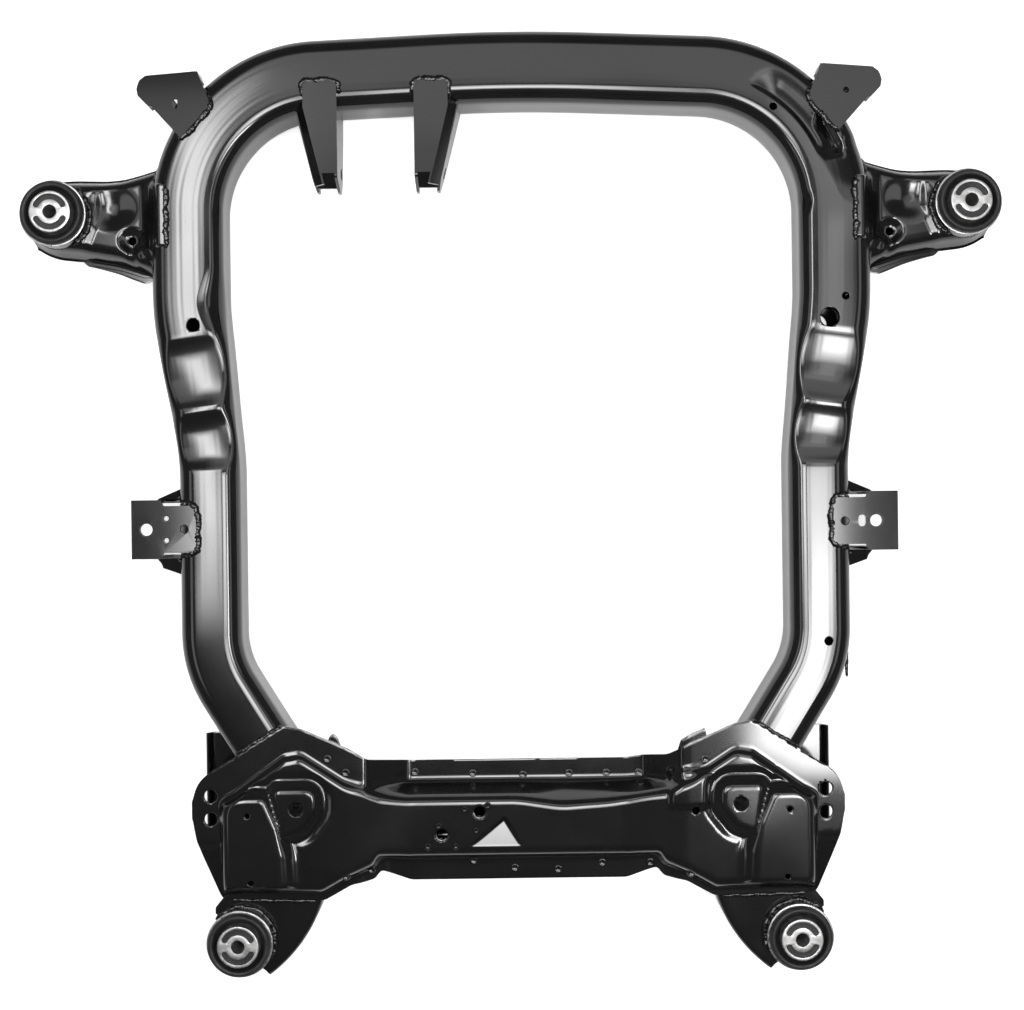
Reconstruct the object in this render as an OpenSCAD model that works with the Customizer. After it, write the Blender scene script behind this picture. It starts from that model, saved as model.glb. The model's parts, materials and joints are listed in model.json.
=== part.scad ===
// Front subframe of a car: one formed tube bent round three sides, closed at
// the rear by a stamped crossmember, with four rubber body mounts, two stamped
// mount arms and welded brackets.
// Millimetres. +Y is the front of the car, +Z is up, and z = 0 is the plane
// that the four mount cores stand on. The origin is the middle of that plane.

/* [Overall] */
// Overall length, from the tube's front face to the rear mounts
frame_l = 949; // [935:1:963]
// Distance between the two front body mounts
front_span = 921; // [910:1:932]
// Distance between the two rear body mounts
rear_span = 564; // [554:1:574]
// Distance from the front mounts to the rear mounts
mount_base = 737; // [729:1:744]
// Gap left for the weld between neighbouring sheets
weld_gap = 0.3; // [0.2:0.05:0.4]

/* [Perimeter tube] */
// Width of the tube across the front and round the corners
tube_w = 72; // [68:1:76]
// Width of the side rails behind the scallops
rail_w = 61; // [57:1:65]
// Height of the tube's section
tube_h = 70; // [64:1:74]
// Height of the tube's underside above the rest plane
tube_lift = 14; // [12:0.5:18]
// Wall of the tube
tube_t = 2.5; // [2:0.1:3.5]
// Outside corner radius of the tube's section
tube_r = 16; // [12:1:19]
// Distance from the front rails' centrelines out to the body mounts
mount_out = 134.5; // [131:0.5:138]
// Distance between the rail centrelines behind the scallops
rail_span_rear = 613; // [605:1:619]
// Bend radius of the front corners
corner_r = 137; // [120:1:145]
// How far the front tube falls back from its middle to the corners
front_bow = 14; // [6:1:20]
// Angle at which the rails turn in to the crossmember
tail_angle = 31.7; // [28:0.1:34]
// Length of tube that goes in between the crossmember's sheets
tail_lap = 20; // [12:1:22]
// Depth of the two clearance scallops pressed into each rail
scallop_d = 6; // [3:1:10]
// Depth of the press mark in the right front corner
corner_press = 9; // [4:1:14]

/* [Crossmember] */
// Distance from the rear mounts forward to the middle of the beam
beam_ahead = 118; // [113:1:123]
// Overall width of the crossmember
cross_w = 652; // [640:1:664]
// Thickness of the crossmember's sheets
cross_t = 3; // [2:0.25:3.5]
// Height of the spot-welded flanges at mid span
flange_z = 50; // [44:1:56]
// Height of the top of the beam
beam_z = 85; // [78:1:88]
// Height of the steering gear pads and bosses
pad_z = 99; // [96:1:104]
// Distance between the two steering gear bosses
rack_span = 442; // [434:1:450]
// Bore of the steering gear bolts
rack_bore_d = 14; // [10:0.5:16]
// Bore of the control arm bolts in the gussets
gusset_bore_d = 13.5; // [10:0.5:15]

/* [Body mounts] */
// Diameter of the mount's rubber rim
bush_d = 67; // [62:1:71]
// Height of the mount's metal core
bush_h = 88; // [80:1:94]
// Outside diameter of the welded sleeve
sleeve_d = 65; // [60:1:68]
// Wall of the welded sleeve
sleeve_t = 3; // [2:0.25:4]
// Diameter of the mount's metal core
core_d = 42; // [38:1:46]
// Bore for the body bolt
bolt_d = 13; // [10:0.5:15]

/* [Mount arms] */
// Thickness of the arm sheets
arm_t = 2.5; // [2:0.1:3]
// Height of the arm's upper face at the mount
arm_z = 57; // [52:1:62]
// Height of the arm's welded seam
arm_seam_z = 34; // [30:1:38]

/* [Brackets] */
// Thickness of the bracket plates
plate_t = 3; // [2:0.25:4]
// Thickness of the rear mount brackets
bracket_t = 4.5; // [3:0.25:6]
// Depth of the engine mount brackets' side walls
engine_wall_d = 62; // [50:1:66]
// Gap between the engine mount brackets' facing walls
engine_gap = 77; // [66:1:86]
// Distance from the middle of the car to the middle of that gap
engine_off = 134; // [128:1:142]
// Bore for the engine mount bolt
engine_bore_d = 12; // [8:0.5:14]
// Width of the control arm brackets between their outer faces
arm_bracket_w = 59; // [50:1:64]
// Reach of the control arm brackets out from the rail
arm_bracket_l = 46; // [40:1:52]
// Bore for the control arm bolt
arm_bore_d = 13; // [10:0.5:14]

/* [Hidden] */
$fn = 64;
SIDES = ["left", "right"];

// Reference lines
rear_y = -frame_l / 2 + bush_d / 2;
front_y = rear_y + mount_base;
beam_y = rear_y + beam_ahead;
nose_y = frame_l / 2 - tube_w / 2;
front_x = front_span / 2;
rear_x = rear_span / 2;
tube_top = tube_lift + tube_h;
lap_z = tube_top + weld_gap;

function unit(v) = v / norm(v);
function turned(v, angle) = [v.x * cos(angle) - v.y * sin(angle), v.x * sin(angle) + v.y * cos(angle)];
function mix(a, b, k) = a + (b - a) * k;
function ease(a, b, x) = let (k = max(0, min(1, (x - a) / (b - a)))) k * k * (3 - 2 * k);
function hump(x, middle, half) = abs(x - middle) >= half ? 0 : (1 + cos(180 * (x - middle) / half)) / 2;
function dish(x, middle, half) = max(0, 1 - pow((x - middle) / half, 2));

// Perimeter tube: bend table, one row per bend as [corner point, bend radius,
// stations in the bend, stations in the straight after it]
rail_f = front_x - mount_out;
rail_r = rail_span_rear / 2;
tail_bend_y = beam_y + 163;
tail_bend_r = 110;
tail_l = 90;
tail_dir = [-sin(tail_angle), -cos(tail_angle)];
tail_side = [cos(tail_angle), -sin(tail_angle)];
tail_mouth = [rail_r, tail_bend_y] + tail_dir * tail_l;
offset_bend_r = 300;
nose_r = 1800;
bow_angle = atan(front_bow / rail_f);
nose_lift = nose_r * (1 / cos(bow_angle) - 1);
scallop_front_y = front_y - 163;
scallop_rear_y = front_y - 230.5;
offset_rear_y = front_y - 246;
offset_front_y = front_y - 100;
half_bends = [
    [tail_mouth + tail_dir * tail_lap, 0, 0, 1],
    [[rail_r, tail_bend_y], tail_bend_r, 4, 2],
    [[rail_r, offset_rear_y], offset_bend_r, 3, 11],
    [[rail_f, offset_front_y], offset_bend_r, 2, 3],
    [[rail_f, nose_y + nose_lift - front_bow], corner_r, 10, 2]
];
bends = concat(
    half_bends,
    [[[0, nose_y + nose_lift], nose_r, 4, 2]],
    [for (i = [len(half_bends) - 1 : -1 : 0])
        let (b = half_bends[i]) [[-b[0].x, b[0].y], b[1], b[2], i > 0 ? half_bends[i - 1][3] : 0]]
);

function front_line(x) = nose_y + nose_lift - front_bow * abs(x) / rail_f;

// Stations along the tube, each as [point, direction]
function bend_stations(a, b, c, r, n) =
    let (u = unit(b - a), w = unit(c - b), swing = atan2(cross(u, w), u * w), s = sign(swing),
         start = b - u * r * tan(abs(swing) / 2), middle = start + turned(u, 90 * s) * r)
    [for (k = [0 : n]) let (d = turned(u, swing * k / n)) [middle - turned(d, 90 * s) * r, d]];
function end_station(a, b) = [[a, unit(b - a)]];
bend_runs = [for (i = [0 : len(bends) - 1])
    i == 0 ? end_station(bends[0][0], bends[1][0])
    : i == len(bends) - 1 ? [[bends[i][0], unit(bends[i][0] - bends[i - 1][0])]]
    : bend_stations(bends[i - 1][0], bends[i][0], bends[i + 1][0], bends[i][1], bends[i][2])];
function straight(p, q, n) = n < 2 ? [] : [for (k = [1 : n - 1]) [mix(p, q, k / n), unit(q - p)]];
stations = [for (i = [0 : len(bends) - 1])
    each concat(bend_runs[i], i == len(bends) - 1 ? []
        : straight(bend_runs[i][len(bend_runs[i]) - 1][0], bend_runs[i + 1][0][0], bends[i][3]))];

// Section of the tube at a point of its path
SECTION_STEPS = 3;
scallop_half_front = 37;
scallop_half_rear = 30.5;
scallop_corner_r = 7;
press_middle = [rail_f - 14, front_y + 34];
press_reach = 64;
function scallop(y) =
    dish(y, scallop_front_y, scallop_half_front) + dish(y, scallop_rear_y, scallop_half_rear);
function pressed(p) = corner_press * hump(norm(p - press_middle), 0, press_reach);
function tube_width(p) = mix(rail_w, tube_w, ease(offset_rear_y, offset_front_y, p.y));
function tube_top_at(p) = tube_top - scallop_d * scallop(p.y) - pressed(p);
function top_radius(p) = mix(tube_r, scallop_corner_r, min(1, scallop(p.y)));
function corner_arc(cx, cz, r, from) =
    [for (k = [0 : SECTION_STEPS])
        let (a = from + 90 * k / SECTION_STEPS) [cx + r * cos(a), cz + r * sin(a)]];
function section(p, grow) =
    let (w = tube_width(p) / 2 + grow, top = tube_top_at(p) + grow, low = tube_lift - grow,
         rt = top_radius(p) + grow, rb = tube_r + grow)
    concat(corner_arc(w - rt, top - rt, rt, 0), corner_arc(rt - w, top - rt, rt, 90),
        corner_arc(rb - w, low + rb, rb, 180), corner_arc(w - rb, low + rb, rb, 270));
function section_ring(station, grow) =
    let (p = station[0], out = turned(station[1], -90))
    [for (s = section(p, grow)) [p.x + out.x * s.x, p.y + out.y * s.x, s.y]];

// Faces between neighbouring rings of n points, m rings, from index first
function skin(first, n, m, outward) =
    [for (i = [0 : m - 2]) for (j = [0 : n - 1])
        let (a = first + i * n + j, b = first + i * n + (j + 1) % n, c = a + n, d = b + n)
        each outward ? [[a, b, c], [b, d, c]] : [[a, c, b], [b, c, d]]];
function end_ring(outer, inner, n, flip) =
    [for (j = [0 : n - 1])
        let (a = outer + j, b = outer + (j + 1) % n, c = inner + j, d = inner + (j + 1) % n)
        each flip ? [[a, c, b], [b, c, d]] : [[a, b, c], [b, d, c]]];

module hollow_tube() {
    rings = len(stations);
    n = 4 * (SECTION_STEPS + 1);
    inside = rings * n;
    polyhedron(
        concat([for (s = stations) each section_ring(s, 0)],
            [for (s = stations) each section_ring(s, -tube_t)]),
        concat(skin(0, n, rings, true), skin(inside, n, rings, false),
            end_ring(0, inside, n, true), end_ring((rings - 1) * n, inside + (rings - 1) * n, n, false)));
}

// Solid stretch of the tube between two Y values on one side, a weld gap larger
module tube_stretch(side, y_from, y_to) {
    part = [for (s = stations) if (side * s[0].x > 0 && s[0].y >= y_from && s[0].y <= y_to) s];
    n = 4 * (SECTION_STEPS + 1);
    polyhedron([for (s = part) each section_ring(s, weld_gap)],
        concat(skin(0, n, len(part), true), [[for (j = [0 : n - 1]) n - 1 - j]],
            [[for (j = [0 : n - 1]) (len(part) - 1) * n + j]]));
}

drain_d = 13;
through_d = 19;
gauge_d = 7;
drain_y = front_y - 115;
module drill(x, y, d, depth) {
    translate([x, y, tube_top - depth]) cylinder(d = d, h = depth + 1);
}

module perimeter_tube() {
    color([0.06, 0.06, 0.065]) difference() {
        hollow_tube();
        drill(-rail_f + 7, drain_y, drain_d, tube_h / 2);
        drill(rail_f - 8, drain_y, through_d, tube_h + 1);
        drill(rail_f + 8, drain_y + 21, gauge_d, tube_h / 2);
        drill(rail_f - 62, nose_y - 46, gauge_d, tube_h / 2);
        drill(rail_r + 6, tail_bend_y + 17, gauge_d + 1, tube_h / 2);
    }
}

// Stamped sheet lofted through one profile of [y, z] points per x station
function profile_normal(p, j) =
    let (n = len(p), u = unit(p[max(j, 1)] - p[max(j, 1) - 1]),
         w = unit(p[min(j + 1, n - 1)] - p[min(j, n - 2)]),
         a = [-u.y, u.x], b = [-w.y, w.x])
    (a + b) / (1 + a * b);
module lofted_sheet(xs, profiles, t) {
    m = len(xs);
    n = len(profiles[0]);
    low = m * n;
    points = concat(
        [for (i = [0 : m - 1]) for (p = profiles[i]) [xs[i], p.x, p.y]],
        [for (i = [0 : m - 1]) for (j = [0 : n - 1])
            let (p = profiles[i][j] - t * profile_normal(profiles[i], j)) [xs[i], p.x, p.y]]);
    top_faces = [for (i = [0 : m - 2]) for (j = [0 : n - 2])
        let (a = i * n + j, b = a + 1, c = a + n, d = c + 1) each [[a, b, c], [b, d, c]]];
    low_faces = [for (f = top_faces) [f[0] + low, f[2] + low, f[1] + low]];
    edge = concat([for (j = [0 : n - 2]) j], [for (i = [0 : m - 2]) i * n + n - 1],
        [for (j = [n - 1 : -1 : 1]) (m - 1) * n + j], [for (i = [m - 1 : -1 : 1]) i * n]);
    side_faces = [for (k = [0 : len(edge) - 1])
        let (a = edge[k], b = edge[(k + 1) % len(edge)]) each [[a, a + low, b], [b, a + low, b + low]]];
    polyhedron(points, concat(top_faces, low_faces, side_faces));
}
function both_sides(half) = concat([for (i = [len(half) - 1 : -1 : 1]) -half[i]], half);

// Crossmember outline and creases, as functions of the distance from the middle
half_w = cross_w / 2;
gusset_out = tail_mouth + tail_side * 62;
gusset_in = tail_mouth - tail_side * 30;
gusset_z = lap_z + cross_t;
inner_z = gusset_z + 4.7;
rear_flange_z = arm_z + bracket_t;
front_outline = [
    [0, beam_y + 61], [110, beam_y + 61], [150, beam_y + 67], [170, beam_y + 79],
    [gusset_in.x - 17, gusset_in.y - 3], [gusset_in.x, gusset_in.y], [gusset_out.x, gusset_out.y],
    [half_w - 7, gusset_out.y - 8], [half_w, gusset_out.y - 21]
];
rear_outline = [
    [0, beam_y - 61], [110, beam_y - 61], [141, beam_y - 50], [146, beam_y - 58], [170, beam_y - 63],
    [197, beam_y - 78], [half_w - 25, beam_y - 75.5], [half_w - 4, beam_y - 11], [half_w, beam_y + 11]
];
front_flange_w = [[0, 22], [110, 22], [150, 26], [172, 34], [217, 24], [234, 30], [285, 35], [297, 32],
    [half_w - 14, 20], [half_w, 5]];
rear_flange_w = [[0, 23], [110, 23], [141, 14], [170, 9], [285, 8], [half_w, 2]];
front_wall_run = [[-172, 7], [-120, 11], [0, 11], [43, 18], [90, 15], [130, 9], [172, 7]];
rear_wall_run = [[0, 9], [120, 9], [170, 7], [285, 7], [half_w, 2]];
flange_end = [118, 172];
pad_x = [half_w - 98, half_w - 29];
pad_y = [beam_y - 70, beam_y + 33];
pad_ramp = 8;
rack_x = rack_span / 2;
rack_y = beam_y + 21;
boss_r = [24, 29];
band_x = [half_w - 33, half_w - 27];
INNER_ROWS = 12;

function front_level(a) = mix(flange_z, gusset_z, ease(flange_end[0], flange_end[1], a));
function outer_band(a, z) = mix(z, gusset_z, ease(band_x[0], band_x[1], a));
function rear_level(a) = outer_band(a, mix(flange_z, rear_flange_z, ease(128, 165, a)));
function inner_level(a) = outer_band(a, mix(beam_z, inner_z, ease(120, 180, a)));
function inside(span, ramp, v) = ease(span[0], span[0] + ramp, v) * (1 - ease(span[1] - ramp, span[1], v));
function pad_mask(a, y) = inside(pad_x, pad_ramp, a) * inside(pad_y, pad_ramp, y);
function boss_mask(a, y) = 1 - ease(boss_r[0], boss_r[1], norm([a - rack_x, y - rack_y]));
function pad_rise(a, y) = (pad_z - inner_level(a)) * max(pad_mask(a, y), boss_mask(a, y));

function upper_profile(x) =
    let (a = abs(x), rear = lookup(a, rear_outline), front = lookup(a, front_outline),
         rear_foot = rear + lookup(a, rear_flange_w), rear_top = rear_foot + lookup(a, rear_wall_run),
         front_foot = front - lookup(a, front_flange_w), front_top = front_foot - lookup(x, front_wall_run))
    concat([[rear, rear_level(a)], [rear_foot, rear_level(a)]],
        [for (k = [0 : INNER_ROWS]) let (y = mix(rear_top, front_top, k / INNER_ROWS))
            [y, inner_level(a) + pad_rise(a, y)]],
        [[front_foot, front_level(a)], [front, front_level(a)]]);

beam_stations = [0, 22, 43, 64, 90, 110, 120, 132, 141, 146, 157, 170, 184, 197, 207];
upper_stations = both_sides(concat(beam_stations,
    [gusset_in.x - 17, pad_x[0] - 4, gusset_in.x, pad_x[0] + 14, mix(pad_x[0], pad_x[1], 0.5), pad_x[1] - 13,
        band_x[0] - 2, band_x[1] - 1, band_x[1] + 6, gusset_out.x, half_w - 7, half_w]));

gusset_bolts = [[half_w - 19, beam_y + 33], [half_w - 19, beam_y + 10]];
beam_bolts = [[-77, beam_y - 9], [-39, beam_y + 13]];
beam_bolt_d = 13;
pad_holes = [[269, beam_y + 15], [266, beam_y - 52]];
module upright(x, y, d) {
    translate([x, y, 0]) cylinder(d = d, h = 2 * pad_z);
}

module crossmember_upper() {
    color([0.05, 0.05, 0.055]) difference() {
        lofted_sheet(upper_stations, [for (x = upper_stations) upper_profile(x)], cross_t);
        for (s = [-1, 1]) {
            upright(s * rack_x, rack_y, rack_bore_d);
            for (p = gusset_bolts) upright(s * p.x, p.y, gusset_bore_d);
            for (p = pad_holes) upright(s * p.x, p.y, 5);
        }
        for (p = beam_bolts) upright(p.x, p.y, beam_bolt_d);
        upright(177, beam_y + 13, 7);
    }
}

// Lower sheet: a tray whose flanges follow the upper sheet, open where the
// tube and the control arms enter
tray_z = tube_lift - weld_gap;
bracket_top = rear_flange_z - cross_t - weld_gap;
tray_half_w = half_w - 5;
tube_entry_x = [gusset_in.x - 28, gusset_in.x - 17];
wing_x = [half_w - 41, half_w - 34];
tray_stations = both_sides(concat(beam_stations,
    [tube_entry_x[0] + 6, tube_entry_x[1] + 2, pad_x[0] + 2, half_w - 76, half_w - 56, wing_x[0], wing_x[1],
        band_x[1] + 1, half_w - 16, tray_half_w - 5, tray_half_w]));
wing_y = tail_mouth.y + 2;
tray_front_outline = concat([for (p = front_outline) if (p.x < wing_x[0]) p],
    [[wing_x[0], lookup(wing_x[0], front_outline)], [wing_x[1], wing_y], [half_w, wing_y]]);
tray_setback = [[0, 1], [150, 1], [184, 15], [wing_x[0], 15], [wing_x[1], 1]];
function tray_front_level(a) =
    mix(front_level(a) - cross_t - weld_gap, tray_z, ease(tube_entry_x[0], tube_entry_x[1], a));
function tray_rear_level(a) =
    let (flange = rear_level(a) - cross_t - weld_gap, plate = bracket_top - bracket_t - weld_gap,
         shut = mix(flange, plate, ease(150, 180, a)))
    mix(shut, tray_z, ease(wing_x[0] - 1, band_x[0] + 3, a));
function tray_rim(a) = 8 * ease(tray_half_w - 5, tray_half_w, a);
function tray_profile(x) =
    let (a = abs(x), rear = lookup(a, rear_outline) + 1,
         front = lookup(a, tray_front_outline) - lookup(a, tray_setback),
         rear_foot = rear + max(6, lookup(a, rear_flange_w)), rear_low = rear_foot + 9,
         front_foot = front - max(10, lookup(a, front_flange_w) - 10), front_low = front_foot - 11,
         z = tray_z + tray_rim(a))
    [[rear, tray_rear_level(a) + tray_rim(a)], [rear_foot, tray_rear_level(a) + tray_rim(a)],
        [rear_low, z], [mix(rear_low, front_low, 0.5), z], [front_low, z],
        [front_foot, tray_front_level(a) + tray_rim(a)], [front, tray_front_level(a) + tray_rim(a)]];

module crossmember_lower() {
    color([0.05, 0.05, 0.055]) difference() {
        lofted_sheet(tray_stations, [for (x = tray_stations) tray_profile(x)], cross_t);
        for (s = [-1, 1]) upright(s * rack_x, rack_y, rack_bore_d);
    }
}

// Spacer tubes between the two sheets at the steering gear bolts
module rack_spacer(side) {
    color("dimgray") translate([side * rack_x, rack_y, tray_z]) difference() {
        cylinder(d = rack_bore_d + 6, h = pad_z - cross_t - tray_z - 2 * weld_gap);
        translate([0, 0, -1]) cylinder(d = rack_bore_d, h = pad_z);
    }
}

module beam_weld_nuts() {
    nut_h = 9;
    color("dimgray") for (p = beam_bolts)
        translate([p.x, p.y, beam_z - cross_t - nut_h - weld_gap]) difference() {
            cylinder(d = beam_bolt_d + 9, h = nut_h, $fn = 6);
            translate([0, 0, -1]) cylinder(d = beam_bolt_d - 2, h = nut_h + 2);
        }
}

// Body mounts
sleeve_low = 10;
sleeve_top = 74;
shell_t = 1.4;
rim_t = 2;
rubber_top = bush_h - 3;
fit_gap = 0.1;
shell_r = sleeve_d / 2 - sleeve_t - fit_gap;

module sleeve() {
    color([0.05, 0.05, 0.055]) difference() {
        translate([0, 0, sleeve_low]) cylinder(d = sleeve_d, h = sleeve_top - sleeve_low);
        cylinder(d = sleeve_d - 2 * sleeve_t, h = bush_h);
    }
}

module bush_shell() {
    color("silver") rotate_extrude() polygon([
        [shell_r - shell_t, sleeve_low], [shell_r, sleeve_low], [shell_r, sleeve_top + fit_gap],
        [bush_d / 2, sleeve_top + fit_gap], [bush_d / 2, sleeve_top + rim_t],
        [shell_r - shell_t, sleeve_top + rim_t]]);
}

module bush_rubber() {
    r_in = core_d / 2 + fit_gap;
    r_out = shell_r - shell_t - fit_gap;
    lip_low = sleeve_top + rim_t + fit_gap;
    color([0.03, 0.03, 0.03]) rotate_extrude() polygon([
        [r_in, sleeve_low + 4], [r_out, sleeve_low], [r_out, lip_low], [bush_d / 2 - 1, lip_low],
        [bush_d / 2 - 1, rubber_top - 5], [bush_d / 2 - 4, rubber_top - 1], [bush_d / 2 - 8, rubber_top],
        [core_d / 2 + 5, rubber_top - 2], [core_d / 2 + 3.5, rubber_top - 9], [r_in, rubber_top - 12]]);
}

kidney_r = 15;
kidney_w = 6;
kidney_d = 26;
kidney_sweep = 62;
module kidney() {
    rotate([0, 0, -kidney_sweep]) rotate_extrude(angle = 2 * kidney_sweep)
        translate([kidney_r - kidney_w / 2, 0]) square([kidney_w, kidney_d + 1]);
    for (s = [-1, 1]) rotate([0, 0, s * kidney_sweep])
        translate([kidney_r, 0, 0]) cylinder(d = kidney_w, h = kidney_d + 1);
}

module bush_core() {
    color("lightgray") difference() {
        cylinder(d = core_d, h = bush_h);
        translate([0, 0, -1]) cylinder(d = bolt_d, h = bush_h + 2);
        for (s = [90, 270]) translate([0, 0, bush_h - kidney_d]) rotate([0, 0, s]) kidney();
    }
}

module at_front(side) {
    translate([side * front_x, front_y, 0]) children();
}
module at_rear(side) {
    translate([side * rear_x, rear_y, 0]) children();
}

// Front mount arms: an upper and a lower stamping welded to the rail and sleeve
arm_root_x = rail_f + tube_w / 2 - tube_r;
arm_reach = front_x - arm_root_x;
arm_shares = [0, 0.06, 0.12, 0.18, 0.26, 0.36, 0.5, 0.65, 0.8, 0.92, 1.04, 1.16, 1.24];
arm_front = [[0, 53], [0.1, 51], [0.3, 44], [0.45, 39.5], [0.6, 38], [0.9, 39], [1.04, 38], [1.16, 33],
    [1.24, 26]];
arm_rear = [[0, -70], [0.15, -64], [0.26, -56], [0.5, -47], [0.8, -41], [1.04, -38], [1.16, -33],
    [1.24, -26]];
arm_front_run = 7;
arm_rear_run = [[0, 20], [0.26, 8]];
tongue_y = [-46, 32];
tongue_ramp = 11;
tongue_k = [0.09, 0.27];
function arm_share(a) = (a - arm_root_x) / arm_reach;
function arm_stations(side) =
    [for (i = [0 : len(arm_shares) - 1])
        side * (arm_root_x + arm_reach * arm_shares[side > 0 ? i : len(arm_shares) - 1 - i])];
function tongue(a, y) =
    (1 - ease(tongue_k[0], tongue_k[1], arm_share(a))) * inside(tongue_y, tongue_ramp, y);
function arm_level(a, y) = mix(arm_z, lap_z + arm_t, tongue(a, y));
arm_rows = [0, 0.05, 0.155, 0.3, 0.45, 0.6, 0.74, 0.855, 1];
function arm_upper_profile(a) =
    let (k = arm_share(a), rear = lookup(k, arm_rear), front = lookup(k, arm_front))
    concat([[front_y + rear, arm_seam_z]],
        [for (v = arm_rows) let (y = mix(rear + lookup(k, arm_rear_run), front - arm_front_run, v))
            [front_y + y, arm_level(a, y)]],
        [[front_y + front, arm_seam_z]]);
arm_low_z = 16;
function arm_lower_profile(a) =
    let (k = arm_share(a), rear = front_y + lookup(k, arm_rear), front = front_y + lookup(k, arm_front),
         rim = arm_seam_z - arm_t - weld_gap, floor_z = arm_low_z + arm_t)
    [[rear, rim], [rear + 6, floor_z], [mix(rear, front, 0.5), floor_z], [front - 6, floor_z], [front, rim]];

module arm_cuts(side) {
    tube_stretch(side, offset_front_y - 30, nose_y - 30);
    at_front(side) cylinder(r = sleeve_d / 2 + weld_gap, h = 2 * bush_h);
}
module front_arm_upper(side) {
    xs = arm_stations(side);
    color([0.05, 0.05, 0.055]) difference() {
        lofted_sheet(xs, [for (x = xs) arm_upper_profile(abs(x))], arm_t);
        arm_cuts(side);
        translate([side * (arm_root_x + 0.35 * arm_reach), front_y - 25, 0]) cylinder(d = 8, h = bush_h);
    }
}
module front_arm_lower(side) {
    xs = arm_stations(side);
    color([0.05, 0.05, 0.055]) difference() {
        lofted_sheet(xs, [for (x = xs) arm_lower_profile(abs(x))], arm_t);
        arm_cuts(side);
    }
}

// Rear mount brackets: a plate under each gusset with a curved skirt
skirt_r = 150;
skirt_middle = [61, rear_y + 84];
skirt_d = 38;
bracket_tip_y = rear_y - bush_d / 2;
bracket_outline = [[-100, beam_y - 64], [16, beam_y - 64], [18, beam_y - 74], [27, beam_y - 85],
    [27, beam_y - 91], [22, beam_y - 95], [10, rear_y], [-10, rear_y - 10], [-21, rear_y - 30],
    [-28, bracket_tip_y], [-100, bracket_tip_y]];
skirt_span = [[-100, beam_y - 80], [-60, beam_y - 80], [-20, bracket_tip_y], [-100, bracket_tip_y]];
module rear_mount_bracket(side) {
    color([0.05, 0.05, 0.055]) translate([side * rear_x, 0, bracket_top - bracket_t])
        mirror([side < 0 ? 1 : 0, 0, 0]) difference() {
            union() {
                linear_extrude(bracket_t) intersection() {
                    translate(skirt_middle) circle(r = skirt_r);
                    polygon(bracket_outline);
                }
                translate([0, 0, -skirt_d]) linear_extrude(skirt_d + 1) intersection() {
                    translate(skirt_middle) difference() {
                        circle(r = skirt_r);
                        circle(r = skirt_r - bracket_t);
                    }
                    polygon(skirt_span);
                }
            }
            translate([0, rear_y, -bush_h]) cylinder(d = sleeve_d + 2 * weld_gap, h = 2 * bush_h);
        }
}

// Folded brackets on the two front corners, in a frame that points out of the bend
bracket_angle = 46;
corner_middle = [rail_f - corner_r, front_line(rail_f - corner_r) - corner_r / cos(bow_angle)];
corner_seat_r = corner_r + tube_w / 2 - tube_r;
corner_slide = -28;
corner_outline = [[-8, -22], [35, -20.5], [39, -22.3], [54, -22.5], [60, -18.5], [64, -11], [63, -3],
    [29, 37], [-1, 24.5], [-5, 21.5]];
corner_wall_d = 24;
module strip(p, q, t) {
    n = turned(unit(q - p), 90) * t;
    polygon([p, q, q + n, p + n]);
}
module corner_bracket(side) {
    inner_edge_end = mix(corner_outline[7], corner_outline[8], 0.28);
    color([0.05, 0.05, 0.055]) mirror([side < 0 ? 1 : 0, 0, 0]) translate(concat(corner_middle, [lap_z]))
        rotate([0, 0, bracket_angle]) translate([corner_seat_r, corner_slide, 0]) difference() {
            union() {
                linear_extrude(plate_t) polygon(corner_outline);
                translate([0, 0, -corner_wall_d]) linear_extrude(corner_wall_d + 1) {
                    strip(corner_outline[2], corner_outline[3], plate_t);
                    strip(corner_outline[7], inner_edge_end, plate_t);
                }
            }
            plate_hole(side > 0 ? 27 : 21, 0, side > 0 ? 5 : 4);
        }
}

// Engine mount brackets: tapered channels hanging inside the front tube
engine_w = [34, 14.5];
engine_wall_l = 80;
engine_plate_l = 66;
engine_lap = 26;
engine_lean = 6.5;
engine_nose_r = 8;
engine_y = front_line(engine_off + engine_gap / 2) - tube_w / 2;
engine_bolt_y = engine_y - engine_wall_l + 2.5 * engine_nose_r;
engine_bolt_z = tube_top - 36;
engine_taper = atan((engine_w[0] - engine_w[1]) / engine_wall_l);
module engine_wall() {
    tip = -engine_wall_l;
    drop = engine_bolt_z - lap_z;
    rotate([90, 0, 90]) linear_extrude(plate_t) polygon([
        [tube_r, 1], [tube_r, -engine_wall_d], [-12, -engine_wall_d],
        [tip + 2 * engine_nose_r, drop - 2 * engine_nose_r], [tip, drop - engine_nose_r],
        [tip, drop + engine_nose_r], [-engine_plate_l - 4, 1]]);
}
module engine_bracket(side) {
    far_edge = function (y) engine_w[0] + y * tan(engine_taper);
    face_x = side * engine_gap / 2 - engine_off;
    color([0.07, 0.07, 0.075]) difference() {
        union() {
            translate([face_x, engine_y, lap_z]) mirror([side < 0 ? 1 : 0, 0, 0])
                linear_extrude(plate_t) polygon([
                    [0, engine_lap], [engine_w[0], engine_lap], [engine_w[0], 0],
                    [far_edge(-engine_plate_l), -engine_plate_l], [0, -engine_plate_l]]);
            difference() {
                translate([face_x, engine_y, lap_z]) mirror([side < 0 ? 1 : 0, 0, 0]) {
                    engine_wall();
                    translate([engine_w[0], 0, 0]) rotate([0, 0, -engine_taper]) rotate([0, -engine_lean, 0])
                        translate([-plate_t, 0, 0]) engine_wall();
                }
                tube_stretch(-1, nose_y - tube_w, nose_y);
            }
        }
        translate([face_x - 2 * engine_w[0], engine_bolt_y, engine_bolt_z]) rotate([0, 90, 0])
            cylinder(d = engine_bore_d, h = 4 * engine_w[0]);
    }
}

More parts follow.
